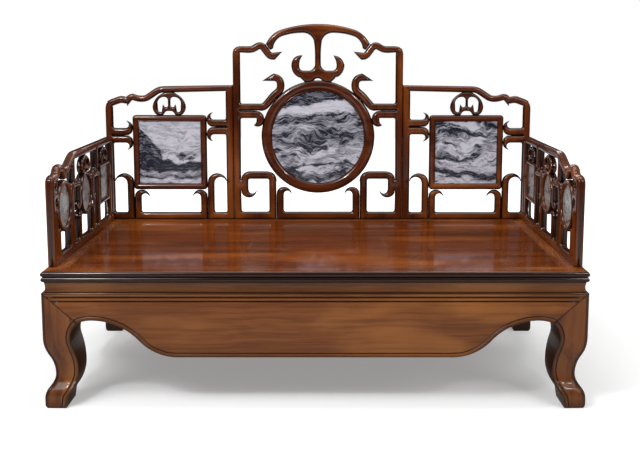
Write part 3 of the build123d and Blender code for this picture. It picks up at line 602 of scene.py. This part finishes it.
def leg_face(inner_at, apron_right, half):
    """One outer face of a leg, as places across it and levels, with the distances of each point
    from the inner edge, which runs on in the apron's arch, and from the outer corner."""
    inner_line, outer_line = list(zip(inner_at, levels)), list(zip(outer_at, levels))
    loop = np.array(outer_line[::-1] + inner_line)
    below = [point for point in inner_line if point[1] <= mitre_foot + 1e-6]
    arch_side = [(half - x, z) for x, z in apron_right[::-1] if half - x < arch_seen]
    inner_runs, outer_runs = np.array(below + arch_side[1:]), np.array(outer_line)
    middle = [(outer + (inner - outer) * part, z) for outer, inner, z in
              zip(outer_at[::2], inner_at[::2], levels[::2]) for part in (0.3, 0.42, 0.55, 0.68)]
    spare = np.array([*rows_beside(below, bead_rows), *rows_beside(outer_line, corner_rows), *middle])
    spare = spare[inside(spare, [loop])]
    spare = spare[reach_of(spare, *runs_of([loop])) > 0.0009]
    spots, triangles = sheet_of([loop], spare)
    return (spots, triangles, reach_of(spots, inner_runs[:-1], inner_runs[1:]),
            reach_of(spots, outer_runs[:-1], outer_runs[1:]))


def leg_carving(level, inner_away, outer_away):
    """Depth of the inner bead, the fine outer line, the rounded corner and the carved toe."""
    depth = np.where(inner_away < border_reach, border(inner_away), 0)
    depth += line_deep * groove(outer_away, line_in, 0.0011) * (level > line_foot)
    depth += corner_deep * np.clip(1 - outer_away / corner_ease, 0, 1) ** 2
    brow = brow_level + brow_rise * np.clip(outer_away / brow_reach, 0, 1)
    ledge = np.clip((level - brow) / toe_ledge, 0, 1)
    fade = np.clip((toe_top - level) / toe_fade, 0, 1)
    return depth + toe_deep * ledge * fade * (outer_away > 0.004)


front_half, side_half = seat_length / 2 - apron_inset, seat_depth / 2 - apron_inset
leg_points, leg_faces, leg_edges = [], [], []
runs, rims = {}, {}
for kind, inner, half in (("rail", inner_front, front_half), ("end", inner_side, side_half)):
    runs[kind] = np.interp(levels, inner[:, 1], inner[:, 0])
    shoulder = shoulders[kind]
    spots, triangles, inner_away, outer_away = leg_face(runs[kind], apron_edge(half, shoulder), half)
    depth = np.interp(spots[:, 1], levels, outer_at) + leg_carving(spots[:, 1], inner_away, outer_away)
    first = len(leg_points)
    for (across, level), inward in zip(spots, depth):
        leg_points.append((across, inward, level) if kind == "rail" else (inward, across, level))
    # Patina and painted shade along the rounded outer corner, and the leg darker towards the floor.
    corner_patina_and_shade = np.where(outer_away < 0.0095, 0.0019, outer_away - 0.0072)
    mitre_away = reach_of(spots, np.array([(0.0, waist_base)]), np.array([(shoulder, mitre_foot)]))
    darker_to_floor = 0.0022 + spots[:, 1] * 0.055
    leg_edges += list(np.min([near_quirk(inner_away), corner_patina_and_shade, mitre_away * 1.4, darker_to_floor], axis=0))
    leg_faces += [[first + index for index in corners] for corners in triangles]
    rims[kind] = [first + int(np.argmin(np.abs(spots - spot).sum(1))) for spot in zip(runs[kind], levels)]
corner_first = len(leg_points)
leg_points += list(zip(runs["rail"], runs["end"], levels))
# Painted shade: the inner corner is dark, which darkens the leg's inner faces.
leg_edges += [0.002] * len(levels)
for rim in rims.values():
    leg_faces += [[rim[index], rim[index + 1], corner_first + index + 1, corner_first + index]
                  for index in range(len(levels) - 1)]
for front_back, hand_y in (("front", -1), ("back", 1)):
    for hand, hand_x in (("left", -1), ("right", 1)):
        placed = [(hand_x * (front_half - x), hand_y * (side_half - y), z) for x, y, z in leg_points]
        node = f"leg_{front_back}_{hand}"
        piece(f"{node}_carved", [(placed, leg_faces, leg_edges)], "bed", [node], leg_wood)

# ---------------------------------------------------------------- middle back panel, fretwork
# Stiles, crest, hooks, tendrils, frets and cradle of hardwood, tenoned together. Both faces are
# rounded over down to a fine edge, so that one scroll seems to grow out of the next.

rail_base, tenon_deep = 0.4763, 0.02
on_seat = rail_base + 0.0004
open_room = 9.0


def chained(runs):
    """Chain directed runs, which have wood on their left, into loops."""
    leaving = {}
    for start, end in runs:
        leaving.setdefault(start, []).append(end)
    loops = []
    while leaving:
        start = next((spot for spot, ends in leaving.items() if len(ends) == 1), next(iter(leaving)))
        loop, here, back = [start], start, None
        while True:
            ends = leaving[here]
            if back is not None and len(ends) > 1:
                ends.sort(key=lambda end: (back - np.arctan2(end[1] - here[1], end[0] - here[0])) % (2 * pi))
            end = ends.pop(0)
            if not ends:
                del leaving[here]
            back = np.arctan2(here[1] - end[1], here[0] - end[0])
            if end == start or end not in leaving:
                break
            loop.append(end)
            here = end
        loops.append(loop)
    return loops


def squared(loop):
    """Square the rounded lower corners of an outline that stands on the seat."""
    loop = list(loop)
    largest, steep = 0.05, 0.15
    for way in (1, -1):
        index = 0
        while index < len(loop):
            x, up = loop[index]
            if up < rail_base + 0.0005 < loop[(index + way) % len(loop)][1]:
                climbed, last = [], (index + way) % len(loop)
                while True:
                    climbed.append(last)
                    here, after = loop[last], loop[(last + way) % len(loop)]
                    if abs(after[0] - here[0]) < steep * abs(after[1] - here[1]) or len(climbed) > 8:
                        break
                    last = (last + way) % len(loop)
                corner = loop[climbed[-1]]
                if len(climbed) > 1 and abs(corner[0] - x) < largest and corner[1] < rail_base + largest:
                    loop[index] = (corner[0], up)
                    for gone in sorted(climbed, reverse=True):
                        del loop[gone]
                    index = -1
            index += 1
    return loop


def front_loops(node, across):
    """The outlines of a node's flat front, as points across and up, with the wood on the left."""
    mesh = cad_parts[node].data
    depth = 1 - across
    spots = np.array([tuple(vert.co) for vert in mesh.vertices]).round(5)
    front = spots[:, depth].min()
    flats = []
    for face in mesh.polygons:
        corners = spots[list(face.vertices)]
        if np.abs(corners[:, depth] - front).max() > 2e-5:
            continue
        flat = [(float(corner[across]), float(corner[2])) for corner in corners]
        (ax, ay), (bx, by), (cx, cy) = flat
        if (bx - ax) * (cy - ay) < (by - ay) * (cx - ax):
            flat.reverse()
        flats.append(flat)
    return [np.array(squared(loop)) for loop in chained(rim_of(flats))]


def joined(loops):
    """Join outlines that touch over short runs. Gives the joined loops and the joint lines."""
    near, longest = 0.00025, 0.05
    spots = []
    for loop in loops:
        for point in loop:
            if not any(abs(x - point[0]) < near and abs(y - point[1]) < near for x, y in spots):
                spots.append(point)
    table = np.array(spots)
    runs = {}
    for number, loop in enumerate(loops):
        ids = [int(np.argmin(np.abs(table - point).sum(1))) for point in loop]
        for first, last in zip(ids, ids[1:] + ids[:1]):
            if first == last:
                continue
            run = table[last] - table[first]
            length = norm(run)
            along = (table - table[first]) @ run / length
            off = np.abs((table - table[first]) @ np.array([-run[1], run[0]])) / length
            between = np.flatnonzero((off < near) & (along > near) & (along < length - near))
            stops = [first, *(int(index) for index in between[np.argsort(along[between])]), last]
            for start, end in zip(stops, stops[1:]):
                runs[start, end] = number
    shared = {run for run in runs if run[::-1] in runs}
    joints = set()
    while shared:
        group, reached = [], [shared.pop()]
        shared.discard(reached[0][::-1])
        pair = {runs[reached[0]], runs[reached[0][::-1]]}
        while reached:
            run = reached.pop()
            group.append(run)
            for other in list(shared):
                if other in shared and set(other) & set(run) and {runs[other], runs[other[::-1]]} == pair:
                    shared -= {other, other[::-1]}
                    reached.append(other)
        if sum(norm(table[start] - table[end]) for start, end in group) < longest:
            joints |= set(group) | {run[::-1] for run in group}
    kept = [(tuple(table[start]), tuple(table[end])) for start, end in runs if (start, end) not in joints]
    return chained(kept), [(table[start], table[end]) for start, end in joints if start < end]


def eased(loop):
    """Draw an outline with its short flats as curves and its window corners filled, and split the
    runs that stand on the seat, so that no face reaches from corner to corner."""
    fillet, longest_cut, foot_step, same_spot = 0.011, 0.02, 0.008, 2e-5
    long_run, long_pair = 0.03, 0.045
    points = np.array(loop)
    while True:
        arriving = points - np.roll(points, 1, 0)
        leaving = np.roll(points, -1, 0) - points
        turn = np.arctan2(arriving[:, 0] * leaving[:, 1] - arriving[:, 1] * leaving[:, 0],
                          (arriving * leaving).sum(1))
        straight = np.abs(turn) < radians(1)
        if not straight.any():
            break
        points = np.delete(points, np.flatnonzero(straight)[0], 0)
    found = []
    for here, back, ahead, angle in zip(points, -arriving, leaving, turn):
        # A corner between long runs stays sharp from a smaller angle than one between short flats.
        shorter, longer = sorted((norm(back), norm(ahead)))
        if angle < 0:
            gentle = 42 if shorter > long_run else 80
        else:
            gentle = 100 if longer < long_pair else 80
        if abs(angle) < radians(gentle):
            cut, steps = min(shorter / 2, longest_cut), max(2, ceil(abs(angle) / radians(7)))
        elif angle < 0:
            cut, steps = min(shorter * 0.45, fillet * abs(tan(angle / 2))), 6
        else:
            found.append(here)
            continue
        start = here + back / norm(back) * cut
        end = here + ahead / norm(ahead) * cut
        for part in np.linspace(0, 1, steps + 1):
            found.append(start * (1 - part) ** 2 + here * 2 * part * (1 - part) + end * part**2)
    kept = [found[0]]
    for point in found[1:]:
        if norm(point - kept[-1]) > same_spot:
            kept.append(point)
    if norm(kept[0] - kept[-1]) < same_spot:
        kept.pop()
    split = []
    for start, end in zip(kept, kept[1:] + kept[:1]):
        split += spread(start, end, foot_step) if max(start[1], end[1]) < on_seat else [start]
    return np.array(split)


def room_beyond(starts, ends, walls, back=0.0):
    """How far the next wood is, square to each run and away from its own wood."""
    out = outward(ends - starts)
    middles = (starts + ends) / 2 - out * back
    first, last = walls
    wall = last - first
    found = np.full(len(starts), open_room)
    for at in range(0, len(starts), 400):
        away = first - middles[at : at + 400, None]
        x, y = out[at : at + 400, :1], out[at : at + 400, 1:]
        slant = x * wall[:, 1] - y * wall[:, 0]
        slant = np.where(np.abs(slant) < 1e-9, 1e-9, slant)
        reach = (away[..., 0] * wall[:, 1] - away[..., 1] * wall[:, 0]) / slant
        along = (away[..., 0] * y - away[..., 1] * x) / slant
        hit = (reach > 2e-5) & (along >= 0) & (along <= 1)
        found[at : at + 400] = np.where(hit, reach, open_room).min(1)
    return found


def swollen(loop, room, by):
    """Move an outline away from its wood where there is room within the piece."""
    before = np.roll(room, 1)
    free = np.clip(np.minimum(room, before) / 2 - 0.0004, 0, by) * (np.maximum(room, before) < open_room)
    return loop + outward(np.roll(loop, -1, 0) - np.roll(loop, 1, 0)) * free[:, None]


def rounding_rows(starts, ends, radius):
    """Points in rows beside the free edges, and along the ridge where the roundings of two edges
    meet before they reach their full radius."""
    station, nearest = 0.007, 0.985
    stations, inward = [], []
    for start, end in zip(starts, ends):
        run = end - start
        length = norm(run)
        count = ceil(length / station)
        for index in range(count):
            stations.append(start + run * (index + 0.5) / count)
            inward.append(np.array([-run[1], run[0]]) / length)
    stations, inward = np.array(stations), np.array(inward)
    found, low, high = [], np.zeros(len(stations)), np.full(len(stations), radius)
    for angle in (18, 36, 54, 72, 90):
        row = radius * (1 - cos(radians(angle)))
        tried = stations + inward * row
        fits = reach_of(tried, starts, ends) > row * nearest
        found.append(tried[fits])
        low = np.where(fits & (low < row), row, low)
        high = np.where(~fits & (high > row), row, high)
    narrow = np.flatnonzero(low < radius * 0.999)
    for _ in range(4):
        half = (low[narrow] + high[narrow]) / 2
        fits = reach_of(stations[narrow] + inward[narrow] * half[:, None], starts, ends) > half * nearest
        low[narrow] = np.where(fits, half, low[narrow])
        high[narrow] = np.where(fits, high[narrow], half)
    ridge = stations[narrow] + inward[narrow] * low[narrow, None]
    ridge = ridge[low[narrow] > 0.0008]
    _, first = np.unique((ridge / 0.0015).round(), axis=0, return_index=True)
    return np.concatenate([*found, ridge[np.sort(first)]])


def carved(nodes, across, radius, held=(), swell=0.002, outer_worn=0.0045):
    """Round over the faces of joined pieces, and return a closed shell for each node."""
    own = {node: front_loops(node, across) for node in nodes}
    loops, joints = joined([[tuple(point) for point in loop] for part in own.values() for loop in part])
    loops = [eased(loop) for loop in loops]
    room = room_beyond(*runs_of(loops), runs_of(loops))
    if held:
        frames = runs_of([loop for node in held for loop in front_loops(node, across)])
        room = np.minimum(room, room_beyond(*runs_of(loops), frames, 0.0006))
    rooms = np.split(room, np.cumsum([len(loop) for loop in loops])[:-1])
    loops = [swollen(loop, own_room, swell) for loop, own_room in zip(loops, rooms)]
    starts, ends = runs_of(loops)
    # Patina and painted shade: runs that stand on the seat and runs that face other wood of the piece (every
    # run of a cloud) are dark, and the free edges less so.
    footed = np.maximum(starts[:, 1], ends[:, 1]) < on_seat
    dark = footed | (room < open_room if swell else room > 0)
    dark_runs = starts[dark], ends[dark]
    free_runs = starts[~footed], ends[~footed]
    spare = rounding_rows(*free_runs, radius)
    spare = spare[inside(spare, loops)]
    cuts, cut_step, clear_of_cuts = [], 0.0025, 0.0007
    for start, end in joints:
        stops = [*spread(start, end, cut_step), np.array(end)]
        cuts += list(zip(stops, stops[1:]))
    if cuts:
        spare = spare[reach_of(spare, *(np.array(side) for side in zip(*cuts))) > clear_of_cuts]
    spots, triangles = sheet_of(loops, spare, cuts)
    away = reach_of(spots, *free_runs)
    depth = radius - np.sqrt(radius**2 - np.clip(radius - away, 0, radius) ** 2)
    worn = np.minimum(reach_of(spots, *dark_runs), away + outer_worn)
    centres = spots[triangles].mean(1)
    owner = np.full(len(triangles), -1)
    for number, node in enumerate(nodes):
        owner[inside(centres, own[node])] = number
    stray = owner < 0
    owner[stray] = np.argmin([reach_of(centres[stray], *runs_of(own[node])) for node in nodes], axis=0)
    shells = {}
    for number, node in enumerate(nodes):
        used, corners = np.unique(triangles[owner == number], return_inverse=True)
        low_face, high_face = (corner[1 - across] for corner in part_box(node))
        sheets = []
        for face in (low_face + depth[used], high_face - depth[used]):
            flat = (spots[used, 0], face) if across == 0 else (face, spots[used, 0])
            sheets.append(np.stack([*flat, spots[used, 1]], 1))
        shells[node] = (*boxed(*sheets, corners.reshape(-1, 3)), list(worn[used]) * 2)
    return shells


def block(low, high):
    """A closed box between two corners, with its lower end eased."""
    (x0, y0, z0), (x1, y1, z1) = low, high
    ease = 0.0015
    points = [(x, y, z) for z, cut in ((z1, 0), (z0 + ease, 0), (z0, ease))
              for x, y in ((x0 + cut, y0 + cut), (x1 - cut, y0 + cut),
                           (x1 - cut, y1 - cut), (x0 + cut, y1 - cut))]
    return points, [[0, 1, 2, 3], [8, 9, 10, 11], *band(0, 4, 4), *band(4, 8, 4)]


def fit(node, finish, shells, wood, crease):
    """Make a piece of a panel, and its mirrored twin when the panel is on the left."""
    for hand in ("left", "right") if "left" in node else ("left",):
        name = node.replace("left", hand)
        body = "_".join(name.split("_")[:2])
        piece(f"{name}_{finish}", shells, body, [name], wood, crease)
        shells = [(across_from(points), *rest) for points, *rest in shells]


def fit_fretwork(body, parts, across, radius, woods, held, **look):
    """Make the carved pieces of one panel, with the panel's tenons under its lowest rail."""
    tenon_foot = rail_base - tenon_deep
    blocks = [block((x - wide / 2, y - deep / 2, tenon_foot), (x + wide / 2, y + deep / 2, rail_base))
              for x, y, wide, deep in tenons[body]]
    upright = ("stiles", "posts", "hooks", "loops", "tendrils", "frets")
    for node, shell in carved([f"{body}_{part}" for part in parts], across, radius, held, **look).items():
        shells = [shell, *blocks] if node.endswith(("cradle", "bottom_rail")) else [shell]
        fit(node, "carved", shells, woods[2 if node.endswith(upright) else across], 50)


railing_wood = hardwoods("railing_wood", (0, 2), (0.09, 0.017, 0.003), (0.036, 0.007, 0.0018),
                         (0.2, 0.05, 0.008), 0.12, patina=0.97, quirk=0.0095, gloss=0.6)
back_round, arm_round, cloud_round = 0.0125, 0.0115, 0.008
fit_fretwork("back_centre", ("stiles", "shoulders", "crest", "cloud", "tendrils", "hooks", "frets", "cradle"),
             0, back_round, railing_wood, ["back_centre_ring"])

# ---------------------------------------------------------------- side back panels, fretwork
# The same hardwood and the same work on the two lower panels, which mirror each other: stiles, a
# stepped top rail, loops and hooks tenoned round a square frame, and a cloud head under the rail.

fit_fretwork("back_left", ("stiles", "top_rail", "loops", "hooks", "cradle"), 0, back_round, railing_wood,
             ["back_left_frame"])
fit_fretwork("back_left", ("cloud",), 0, cloud_round, railing_wood, (), swell=0)

# ---------------------------------------------------------------- arms, fretwork
# Each arm is one long low panel of the same hardwood, stepped down towards the front, with posts,
# loops and hooks tenoned between its two rails and a cloud head over each of the hind plaques.

arm_wood = hardwoods("arm_wood", (1, 2), (0.095, 0.019, 0.0035), (0.04, 0.008, 0.002),
                     (0.19, 0.048, 0.008), 0.12, patina=0.92, quirk=0.005, gloss=0.5)
fit_fretwork("arm_left", ("posts", "top_rail", "bottom_rail", "loops", "hooks"), 1, arm_round, arm_wood,
             ["arm_left_rings", "arm_left_frame"], outer_worn=0.0024)
fit_fretwork("arm_left", ("clouds",), 1, cloud_round, arm_wood, (), swell=0)

# ---------------------------------------------------------------- rings and square frames
# Mouldings of the same hardwood hold the stones: round ones turned and square ones mitred, each
# crowned in front and behind, with a small lip next to the stone.

crown = ((0, 0.28), (0.02, 0.47), (0.06, 0.63), (0.12, 0.77), (0.2, 0.89), (0.31, 0.97), (0.44, 1),
         (0.57, 0.98), (0.69, 0.91), (0.79, 0.81), (0.86, 0.7), (0.885, 0.63), (0.91, 0.66), (0.96, 0.66),
         (1, 0.52))


def moulding(width, half, tongue=0.0):
    """A crowned profile as insets from its outer edge and depths, with a groove for a stone."""
    front = [(part * width, depth * half) for part, depth in crown]
    lip = 0.0061
    floor = width - tongue
    channel = [(width, lip), (floor, lip), (floor, -lip), (width, -lip)] if tongue else []
    return front + channel + [(inset, -depth) for inset, depth in front[::-1]]


def swept(rings, profile, width):
    """Close a shell round equal loops of points, each joined to the next and the last to the
    first, and darken its two quirks with patina and painted shade."""
    points = [point for ring in rings for point in ring]
    count, faces = len(profile), []
    for first in range(0, len(points), count):
        faces += band(first, (first + count) % len(points), count)
    # Patina and painted shade at the outer edge and beside the stone.
    return points, faces, [min(inset, width - inset + 0.003) for inset, _ in profile] * len(rings)


def stood(shell, middle, level, across):
    """Stand a shell, made flat about the origin, up in a back panel or an arm."""
    points, *rest = shell
    if across == 0:
        return [(middle + x, back_plane - z, level + y) for x, y, z in points], *rest
    return [(z - arm_plane, middle + x, level + y) for x, y, z in points], *rest


def ring_shell(outer, width, half, count):
    profile = moulding(width, half)
    rings = [[(*turned(outer - inset, 0, 2 * pi * step / count), depth) for inset, depth in profile]
             for step in range(count)]
    return swept(rings, profile, width)


def frame_shells(across, up, width, half, tongue, corner):
    """Four mitred members of a square frame with rounded outer corners."""
    hairline = 0.00015
    shells = []
    profile = moulding(width, half, tongue)
    for length, reach, turn in ((across, up / 2, 0), (up, across / 2, pi / 2),
                                (across, up / 2, pi), (up, across / 2, -pi / 2)):
        rings = []
        for hand, angles in ((-1, (45, 30, 15, 0)), (1, (0, 15, 30, 45))):
            for angle in angles:
                ring = []
                for inset, depth in profile:
                    radius = max(corner - inset, 0)
                    x = hand * (length / 2 - max(corner, inset) + radius * sin(radians(angle)) - hairline)
                    y = max(inset, corner) - radius * cos(radians(angle)) - reach
                    ring.append((*turned(x, y, turn), depth))
                rings.append(ring)
        points, faces, worn = swept(rings, profile, width)
        count = len(profile)
        ends = [list(range(count)), list(range(len(points) - count, len(points)))]
        shells.append((points, faces[:-count] + ends, worn))
    return shells


ring_level, ring_outer, ring_wide, ring_half = rail_base + 0.359, 0.244, 0.045, 0.016
square_level, disc_level = rail_base + 0.292, rail_base + 0.188
arm_discs = ((-0.30335, 0.092, 0.018), (0.0, 0.084, 0.016))
arm_square_place = arm_middle + 0.29735
back_square = frame_shells(across=0.3189, up=0.324, width=0.027, half=0.015, tongue=0.008, corner=0.014)
arm_square = frame_shells(across=0.17, up=0.17, width=0.02, half=0.015, tongue=0.004, corner=0.006)
round_sides, small_sides, fine_crease = 128, 72, 35
fit("back_centre_ring", "turned",
    [stood(ring_shell(ring_outer, ring_wide, ring_half, round_sides), 0, ring_level, 0)],
    railing_wood[0], fine_crease)
fit("back_left_frame", "mitred", [stood(shell, -side_middle, square_level, 0) for shell in back_square],
    railing_wood[0], fine_crease)
fit("arm_left_rings", "turned",
    [stood(ring_shell(outer, wide, ring_half, small_sides), arm_middle + place, disc_level, 1)
     for place, outer, wide in arm_discs], arm_wood[1], fine_crease)
fit("arm_left_frame", "mitred", [stood(shell, arm_square_place, disc_level, 1) for shell in arm_square],
    arm_wood[1], fine_crease)

# ---------------------------------------------------------------- stones
# Polished plaques of dark and pale veined marble, set in the rings and frames and seen from both
# faces. Each is sawn from its own part of the block, so the bands run differently.


def marble(name, middle, seed, bands, pale=(0.56, 0.56, 0.64), dark=(0.01, 0.012, 0.024),
           folds=(0.4, 0.62)):
    """A marble of folded veins with broad bands: level, half width, slope, bend, tone and
    strength of each."""
    made, place = finish_start(name)
    local = place.shifted([-value for value in middle])
    stirred = local.shifted(seed).warped(8.0, 0.1).warped(30.0, 0.03)
    fold = stirred.stretched((9.0, 9.0, 34.0)).noise(5.0, 0.62)
    thread = stirred.stretched((26.0, 26.0, 150.0)).noise(4.0, 0.6)
    moved = local.warped(9.0, 0.075).warped(30.0, 0.02, 3.0)
    level, across = moved.axis(2), moved.axis(0)
    tone = fold.between(*folds)
    for height, half, slope, bend, value, strength in bands:
        off = place.math("ABSOLUTE", level - across * slope - across * across * bend - height)
        mask = off.between(half + 0.008, half - 0.008) * strength
        tone = tone + mask * (value - tone)
    tone = tone + (thread.between(0.4, 0.6) - 0.5) * 0.36
    middle_tone = tuple(low * 0.62 + high * 0.38 for low, high in zip(dark, pale))
    stops = [(0.08, dark), (0.42, middle_tone), (0.9, pale)]
    surface = {
        "Base Color": place.node("ValToRGB", {"stops": stops}, {0: tone}),
        "Roughness": thread * 0.1 + 0.16,
        "Coat Weight": 0.2,
        "Coat Roughness": 0.06,
    }
    place.node("OutputMaterial", {}, {"Surface": place.node("BsdfPrincipled", {}, surface)})
    return made


def disc(radius):
    """A sawn disc with eased edges."""
    count, ease, half = small_sides, 0.0004, stone_thick / 2
    rims = [(radius - ease, -half), (radius, -half + 0.0005), (radius, half - 0.0005), (radius - ease, half)]
    points = [(*turned(reach, 0, 2 * pi * step / count), depth)
              for reach, depth in rims for step in range(count)]
    faces = [list(range(count)), list(range(3 * count, 4 * count))]
    for first in (0, count, 2 * count):
        faces += band(first, first + count, count)
    return points, faces


stone_thick = 0.012
back_marbles = {
    "centre": ((0, back_plane, ring_level), (0.3, 0.1, 0.6), (
        (0.19, 0.05, 0.12, 0, 0.08, 0.9), (0.125, 0.026, 0.14, 0, 0.95, 0.9),
        (0.075, 0.026, 0.05, 0, 0.1, 0.65), (0.012, 0.05, -0.02, 0, 0.2, 0.6),
        (0.04, 0.008, 0.1, 0.9, 0.8, 0.4), (-0.085, 0.03, 0.16, 0, 0.75, 0.6),
        (-0.18, 0.02, 0.0, 0, 0.15, 0.6))),
    "left": ((-side_middle, back_plane, square_level), (4.2, 0.4, 2.1), (
        (0.1, 0.1, -0.1, 0, 0.85, 0.8), (-0.156, 0.12, -0.6, 3.7, 0.04, 0.9),
        (-0.063, 0.002, -0.6, 3.7, 0.7, 0.5), (-0.055, 0.02, -0.05, 0, 0.0, 0.95),
        (-0.087, 0.012, -0.03, 0, 0.6, 0.85), (-0.104, 0.003, 0.0, 0, 0.1, 0.8),
        (-0.124, 0.013, 0.0, 0, 0.9, 0.85))),
    "right": ((side_middle, back_plane, square_level), (7.7, 0.2, 5.3), (
        (0.03, 0.05, -0.1, 0, 0.5, 0.3), (-0.088, 0.013, -0.16, 0, 0.02, 0.95),
        (-0.064, 0.008, -0.14, 0, 0.75, 0.8), (-0.125, 0.014, -0.1, 0, 0.85, 0.8))),
}
for panel, figure in back_marbles.items():
    finished(f"back_{panel}_stone", marble(f"{panel}_marble", *figure))
arm_marble = marble("arm_marble", (0, 0, disc_level), (1.7, 3.4, 0.9), ((0.03, 0.02, 0.1, 0, 0.8, 0.4),),
                    (0.34, 0.34, 0.33), (0.07, 0.075, 0.08), (0.3, 0.6))
arm_stones = [stood(disc(outer - wide), arm_middle + place, disc_level, 1)
              for place, outer, wide in arm_discs]
slab_half = 0.069
slab = block((-slab_half, -slab_half, -stone_thick / 2), (slab_half, slab_half, stone_thick / 2))
arm_stones.append(stood(slab, arm_square_place, disc_level, 1))
fit("arm_left_stones", "sawn", arm_stones, arm_marble, 38)

# ---------------------------------------------------------------- studio
# A pale painted floor that runs out to white, a white surround that only the camera sees, and
# broad soft lamps, with two small ones for the sparks on the polish.

floor_mesh = bpy.data.meshes.new("floor")
floor_mesh.from_pydata([(-9, -7, 0), (9, -7, 0), (9, 9, 0), (-9, 9, 0)], [], [(0, 1, 2, 3)])
floor = put("floor", floor_mesh)
floor_paint, place = finish_start("floor_paint")
diffuse = place.node("BsdfDiffuse", {}, {"Color": (0.8, 0.8, 0.8, 1)})
near_glow = place.node("Emission", {}, {"Color": (1, 1, 1, 1), "Strength": 0.29})
far_glow = place.node("Emission", {}, {"Color": (1, 1, 1, 1), "Strength": 1.0})
away = place.node("VectorMath", {"operation": "LENGTH"}, {0: place.shifted((0, 0.2, 0))}, output=1)
glow = place.node("MixShader", {}, {0: away.between(1.3, 3.6), 1: near_glow, 2: far_glow})
lifted = place.node("AddShader", {}, {0: diffuse, 1: glow})
seen = place.node("LightPath")
place.node("OutputMaterial", {}, {"Surface": place.node("MixShader", {}, {0: seen, 1: diffuse, 2: lifted})})
floor_mesh.materials.append(floor_paint)

world = bpy.data.worlds.new("surround")
bpy.context.scene.world = world
world.use_nodes = True
world.node_tree.nodes.clear()
around = Wire(world.node_tree.nodes.new("ShaderNodeTexCoord").outputs["Generated"])
soft = around.axis(1).between(0.1, -0.7) * 0.06 + around.axis(2).between(0.1, 0.9) * 0.35 + 0.02
dim = around.node("Background", {}, {"Color": (1, 1, 1, 1), "Strength": soft})
white = around.node("Background", {}, {"Color": (1, 1, 1, 1), "Strength": 1.0})
both = around.node("MixShader", {}, {0: around.node("LightPath"), 1: dim, 2: white})
around.node("OutputWorld", {}, {"Surface": both})

for name, spot, turn, size, power in (
    ("key", (-2.2, -2.6, 3.4), (42, 0, -38), (2.4, 1.6), 94),
    ("fill", (2.8, -2.2, 2.6), (52, 0, 50), (2.0, 1.6), 36),
    ("top", (0, -0.2, 3.6), (0, 0, 0), (3.4, 1.2), 66),
    ("behind", (0.5, 3.3, 2.5), (-55, 0, -8), (2.6, 1.6), 34),
    ("spark_left", (-1.5, -2.4, 2.6), (48, 0, -32), (0.26, 0.26), 24),
    ("spark_right", (1.7, -2.4, 2.4), (50, 0, 35), (0.24, 0.24), 13),
):
    lamp = bpy.data.lights.new(name, "AREA")
    lamp.shape = "RECTANGLE"
    lamp.size, lamp.size_y = size
    lamp.energy = power
    holder = put(name, lamp)
    holder.location = spot
    holder.rotation_euler = [radians(angle) for angle in turn]

camera = put("camera", bpy.data.cameras.new("camera"))
camera.data.lens = 53.447
camera.data.shift_x, camera.data.shift_y = -0.0123, -0.0805
camera.location = (0.0427, -3.61, 1.2245)
camera.rotation_euler = (radians(90 - 7.72), 0, 0)
bpy.context.scene.camera = camera
bpy.context.scene.view_settings.view_transform = "Standard"
